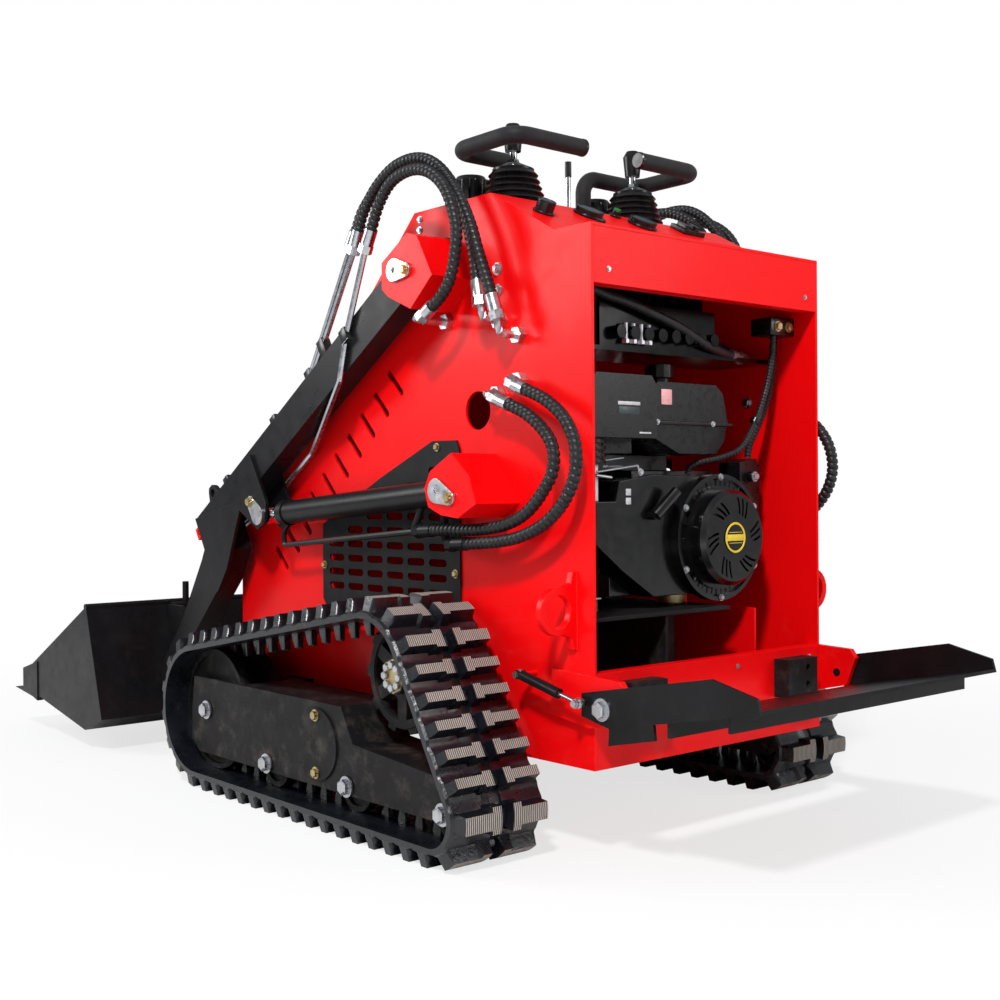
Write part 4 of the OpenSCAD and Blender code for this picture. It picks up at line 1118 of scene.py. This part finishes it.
class LOADER_OT_bay(Operator):
    """Run the leads and the short hose in the engine bay"""

    bl_idname = "loader.bay"
    bl_label = "Engine bay leads"

    def execute(self, context):
        bm = bmesh.new()
        wrapped_hose(bm, [mm(*p) for p in BAY_HOSE], 0.009, 0.0003, 0.012, 16)
        for route, radius in zip(BAY_LEADS, (0.006, 0.007)):
            wrapped_hose(bm, [mm(*p) for p in route], radius, 0.0012, 0.0068, 16, 0.0)
        block(bm, mm(50, -301.7, 923), mm(100, -228, 957), 0.002, 1)
        wrapped_hose(bm, [mm(*p) for p in HEADER_HOSE], 0.009, 0.0003, 0.012, 16)
        bar(bm, mm(107, -174, 884), mm(114, -204, 882), 0.0108, 20, mat=2)
        bar(bm, mm(114, -204, 882), mm(118, -220, 881), 0.0125, 6, mat=2)
        bar(bm, mm(118, -220, 881), mm(124, -246, 880), 0.008, 20, mat=2)
        for y in (134, 114, 94, 74):
            bar(bm, mm(92, y, 886), mm(92, y, 922), 0.0052, 16, mat=2)
            bar(bm, mm(92, y, 886), mm(92, y, 893), 0.0075, 6, mat=2)
        bar(bm, mm(172, -278, 893), mm(172, -292, 893), 0.0135, 6, mat=2)
        bar(bm, mm(172, -292, 893), mm(172, -301.7, 893), 0.011, 24, mat=2)
        bar(bm, mm(172, -262, 896), mm(172, -278, 893), 0.0115, 24, mat=2)
        for y in (-248, -282):
            bolt(bm, mm(50, y, 940), (-1.0, 0.0, 0.0), 8, 1.3, 3)
        bar(bm, mm(63, -196, 758), mm(64, -192, 751), 0.0095, 16, mat=1)
        piece("bay_leads", bm, ("hose", "plastic", "zinc", "yellow_zinc"), "chassis",
              ("bay_cables",), sharp=45.0)
        return {"FINISHED"}


# Controls

CONSOLE_Y = 20.0
SLOPE = math.atan2(91.0, 166.0)
DIALS = ((181, 228, 17, 22), (217, 81, 27, 12), (212, -59, 27, 12), (243, -17, 8, 10), (150, 120, 9, 12))


class LOADER_OT_controls(Operator):
    """Glaze the dials and finish the levers and grips"""

    bl_idname = "loader.controls"
    bl_label = "Controls"

    def execute(self, context):
        out = Vector((-math.sin(SLOPE), 0.0, math.cos(SLOPE)))
        rims, faces, lens = bmesh.new(), bmesh.new(), bmesh.new()
        for x, y, radius, height in DIALS:
            foot = mm(x, CONSOLE_Y + y, 1067 + (x - 89) * math.tan(SLOPE))
            top = foot + out * (height + 0.3) / 1000.0
            r = radius / 1000.0
            lathe(rims, ((-0.001, r * 1.02), (0.0012, r * 1.0), (0.0016, r * 0.93), (0.0004, r * 0.86),
                         (-0.001, r * 0.84)), top, out)
            target = lens if radius == 8 else faces
            if radius == 8:
                bar(lens, top, top + out * 0.006, 0.0072, 24)
            lathe(target, ((-0.0005, 0.0), (-0.0005, r * 0.86), (0.0002, r * 0.86), (0.0009, r * 0.6),
                           (0.0012, 0.0)), top, out)
        piece("dial_rims", rims, ("plastic",), "chassis")
        piece("dial_faces", faces, ("glass",), "chassis")
        piece("green_button", lens, ("green",), "chassis")
        bm = bmesh.new()
        for sign in (1.0, -1.0):
            y = CONSOLE_Y + sign * 163.0
            bar(bm, mm(335, y, 1240), mm(335, y, 1268), 0.0076, 24)
            bar(bm, mm(335, y, 1244), mm(335, y, 1251), 0.0115, 6)
        bar(bm, mm(355, CONSOLE_Y, 1160), mm(355, CONSOLE_Y, 1248), 0.0046, 16)
        piece("lever_shafts", bm, ("chrome",), "chassis")
        bm = bmesh.new()
        for sign in (1.0, -1.0):
            end = mm(235, CONSOLE_Y + sign * 78.0, 1268)
            lathe(bm, ((-0.002, 0.0166), (0.003, 0.0166), (0.0052, 0.0140), (0.0056, 0.0)), end,
                  (0.0, -sign, 0.0), 32)
        piece("grip_ends", bm, ("plastic",), "chassis")
        return {"FINISHED"}


# Floor, lamps, world and camera

CAMERA_AT = place(-1.553305, 1.841764, 0.625319)
CAMERA_AXES = (
    (-0.651008, -0.759030, -0.007844),
    (0.000539, -0.010796, 0.999942),
    (-0.759070, 0.650966, 0.007438),
)
CAMERA_LENS = 1322.9628 * 36.0 / 1000.0


class LOADER_OT_stage(Operator):
    """Set the floor, the lamps, the world and the camera"""

    bl_idname = "loader.stage"
    bl_label = "Stage"

    def execute(self, context):
        scene = context.scene
        scene.view_settings.view_transform = "Standard"
        self.floor()
        self.world(scene)
        self.lamp("key", (-3.2, 3.6, 4.6), 0.6, 340.0)
        self.lamp("fill", (-4.5, -2.5, 2.2), 2.4, 62.0)
        self.lamp("front", (3.4, 3.6, 2.6), 2.4, 130.0)
        camera = bpy.data.cameras.new("camera")
        camera.sensor_width = 36.0
        camera.lens = CAMERA_LENS
        camera.clip_start = 0.05
        holder = bpy.data.objects.new("camera", camera)
        scene.collection.objects.link(holder)
        turn = Matrix(CAMERA_AXES).transposed().to_4x4()
        holder.matrix_world = Matrix.Translation(CAMERA_AT) @ turn
        scene.camera = holder
        return {"FINISHED"}

    def floor(self):
        mesh = bpy.data.meshes.new("floor")
        bm = bmesh.new()
        bmesh.ops.create_grid(bm, x_segments=1, y_segments=1, size=30.0)
        bm.to_mesh(mesh)
        bm.free()
        floor = bpy.data.objects.new("floor", mesh)
        bpy.context.scene.collection.objects.link(floor)
        f = Finish("pale_floor").set(Roughness=0.9, Specular_IOR_Level=0.1)
        f.done(f.ramp(f.noise(0.4), (0.3, (0.80, 0.80, 0.80)), (0.7, (0.83, 0.83, 0.83))))
        length = f.node("ShaderNodeVectorMath", operation="LENGTH")
        f.link(f.coords, length.inputs[0])
        far = f.spread(length.outputs["Value"], 0.9, 2.6, 0.72, 1.0)
        path = f.node("ShaderNodeLightPath")
        white = f.node("ShaderNodeEmission")
        white.inputs["Strength"].default_value = 1.0
        shown = f.node("ShaderNodeMixShader")
        f.link(f.math("MULTIPLY", path.outputs["Is Camera Ray"], far), shown.inputs[0])
        f.link(f.shader.outputs[0], shown.inputs[1])
        f.link(white.outputs[0], shown.inputs[2])
        f.link(shown.outputs[0], f.tree.nodes["Material Output"].inputs["Surface"])
        mesh.materials.append(f.mat)

    def world(self, scene):
        world = bpy.data.worlds.new("studio")
        world.use_nodes = True
        tree = world.node_tree
        tree.nodes.clear()
        out = tree.nodes.new("ShaderNodeOutputWorld")
        soft = tree.nodes.new("ShaderNodeBackground")
        soft.inputs["Color"].default_value = (0.95, 0.97, 1.0, 1.0)
        soft.inputs["Strength"].default_value = 0.34
        seen = tree.nodes.new("ShaderNodeBackground")
        seen.inputs["Color"].default_value = (1.0, 1.0, 1.0, 1.0)
        seen.inputs["Strength"].default_value = 1.0
        path = tree.nodes.new("ShaderNodeLightPath")
        blend = tree.nodes.new("ShaderNodeMixShader")
        tree.links.new(path.outputs["Is Camera Ray"], blend.inputs[0])
        tree.links.new(soft.outputs[0], blend.inputs[1])
        tree.links.new(seen.outputs[0], blend.inputs[2])
        tree.links.new(blend.outputs[0], out.inputs["Surface"])
        scene.world = world

    def lamp(self, name, at, size, power):
        data = bpy.data.lights.new(name, "AREA")
        data.shape = "DISK"
        data.size = size
        data.energy = power
        lamp = bpy.data.objects.new(name, data)
        bpy.context.scene.collection.objects.link(lamp)
        aim = Vector((0.0, 0.0, 0.5)) - Vector(at)
        lamp.matrix_world = Matrix.Translation(at) @ aim.to_track_quat("-Z", "Y").to_matrix().to_4x4()


# Panel, registration and run

STEPS = (
    LOADER_OT_finishes,
    LOADER_OT_eased,
    LOADER_OT_tracks,
    LOADER_OT_hoses,
    LOADER_OT_bolts,
    LOADER_OT_clamps,
    LOADER_OT_welds,
    LOADER_OT_engine,
    LOADER_OT_bay,
    LOADER_OT_controls,
    LOADER_OT_stage,
)


class LOADER_PT_panel(Panel):
    bl_label = "Tracked mini loader"
    bl_space_type = "VIEW_3D"
    bl_region_type = "UI"
    bl_category = "Loader"

    def draw(self, context):
        column = self.layout.column()
        for key in LoaderColours.__annotations__:
            column.prop(context.scene.loader_colours, key)
        for key in LoaderSizes.__annotations__:
            column.prop(context.scene.loader_sizes, key)
        for step in STEPS:
            column.operator(step.bl_idname)


CLASSES = (LoaderColours, LoaderSizes, *STEPS, LOADER_PT_panel)


def register():
    for cls in CLASSES:
        bpy.utils.register_class(cls)
    bpy.types.Scene.loader_colours = PointerProperty(type=LoaderColours)
    bpy.types.Scene.loader_sizes = PointerProperty(type=LoaderSizes)


def unregister():
    del bpy.types.Scene.loader_sizes
    del bpy.types.Scene.loader_colours
    for cls in reversed(CLASSES):
        bpy.utils.unregister_class(cls)


def main():
    register()
    for step in STEPS:
        group, name = step.bl_idname.split(".")
        getattr(getattr(bpy.ops, group), name)()


if __name__ == "__main__":
    main()
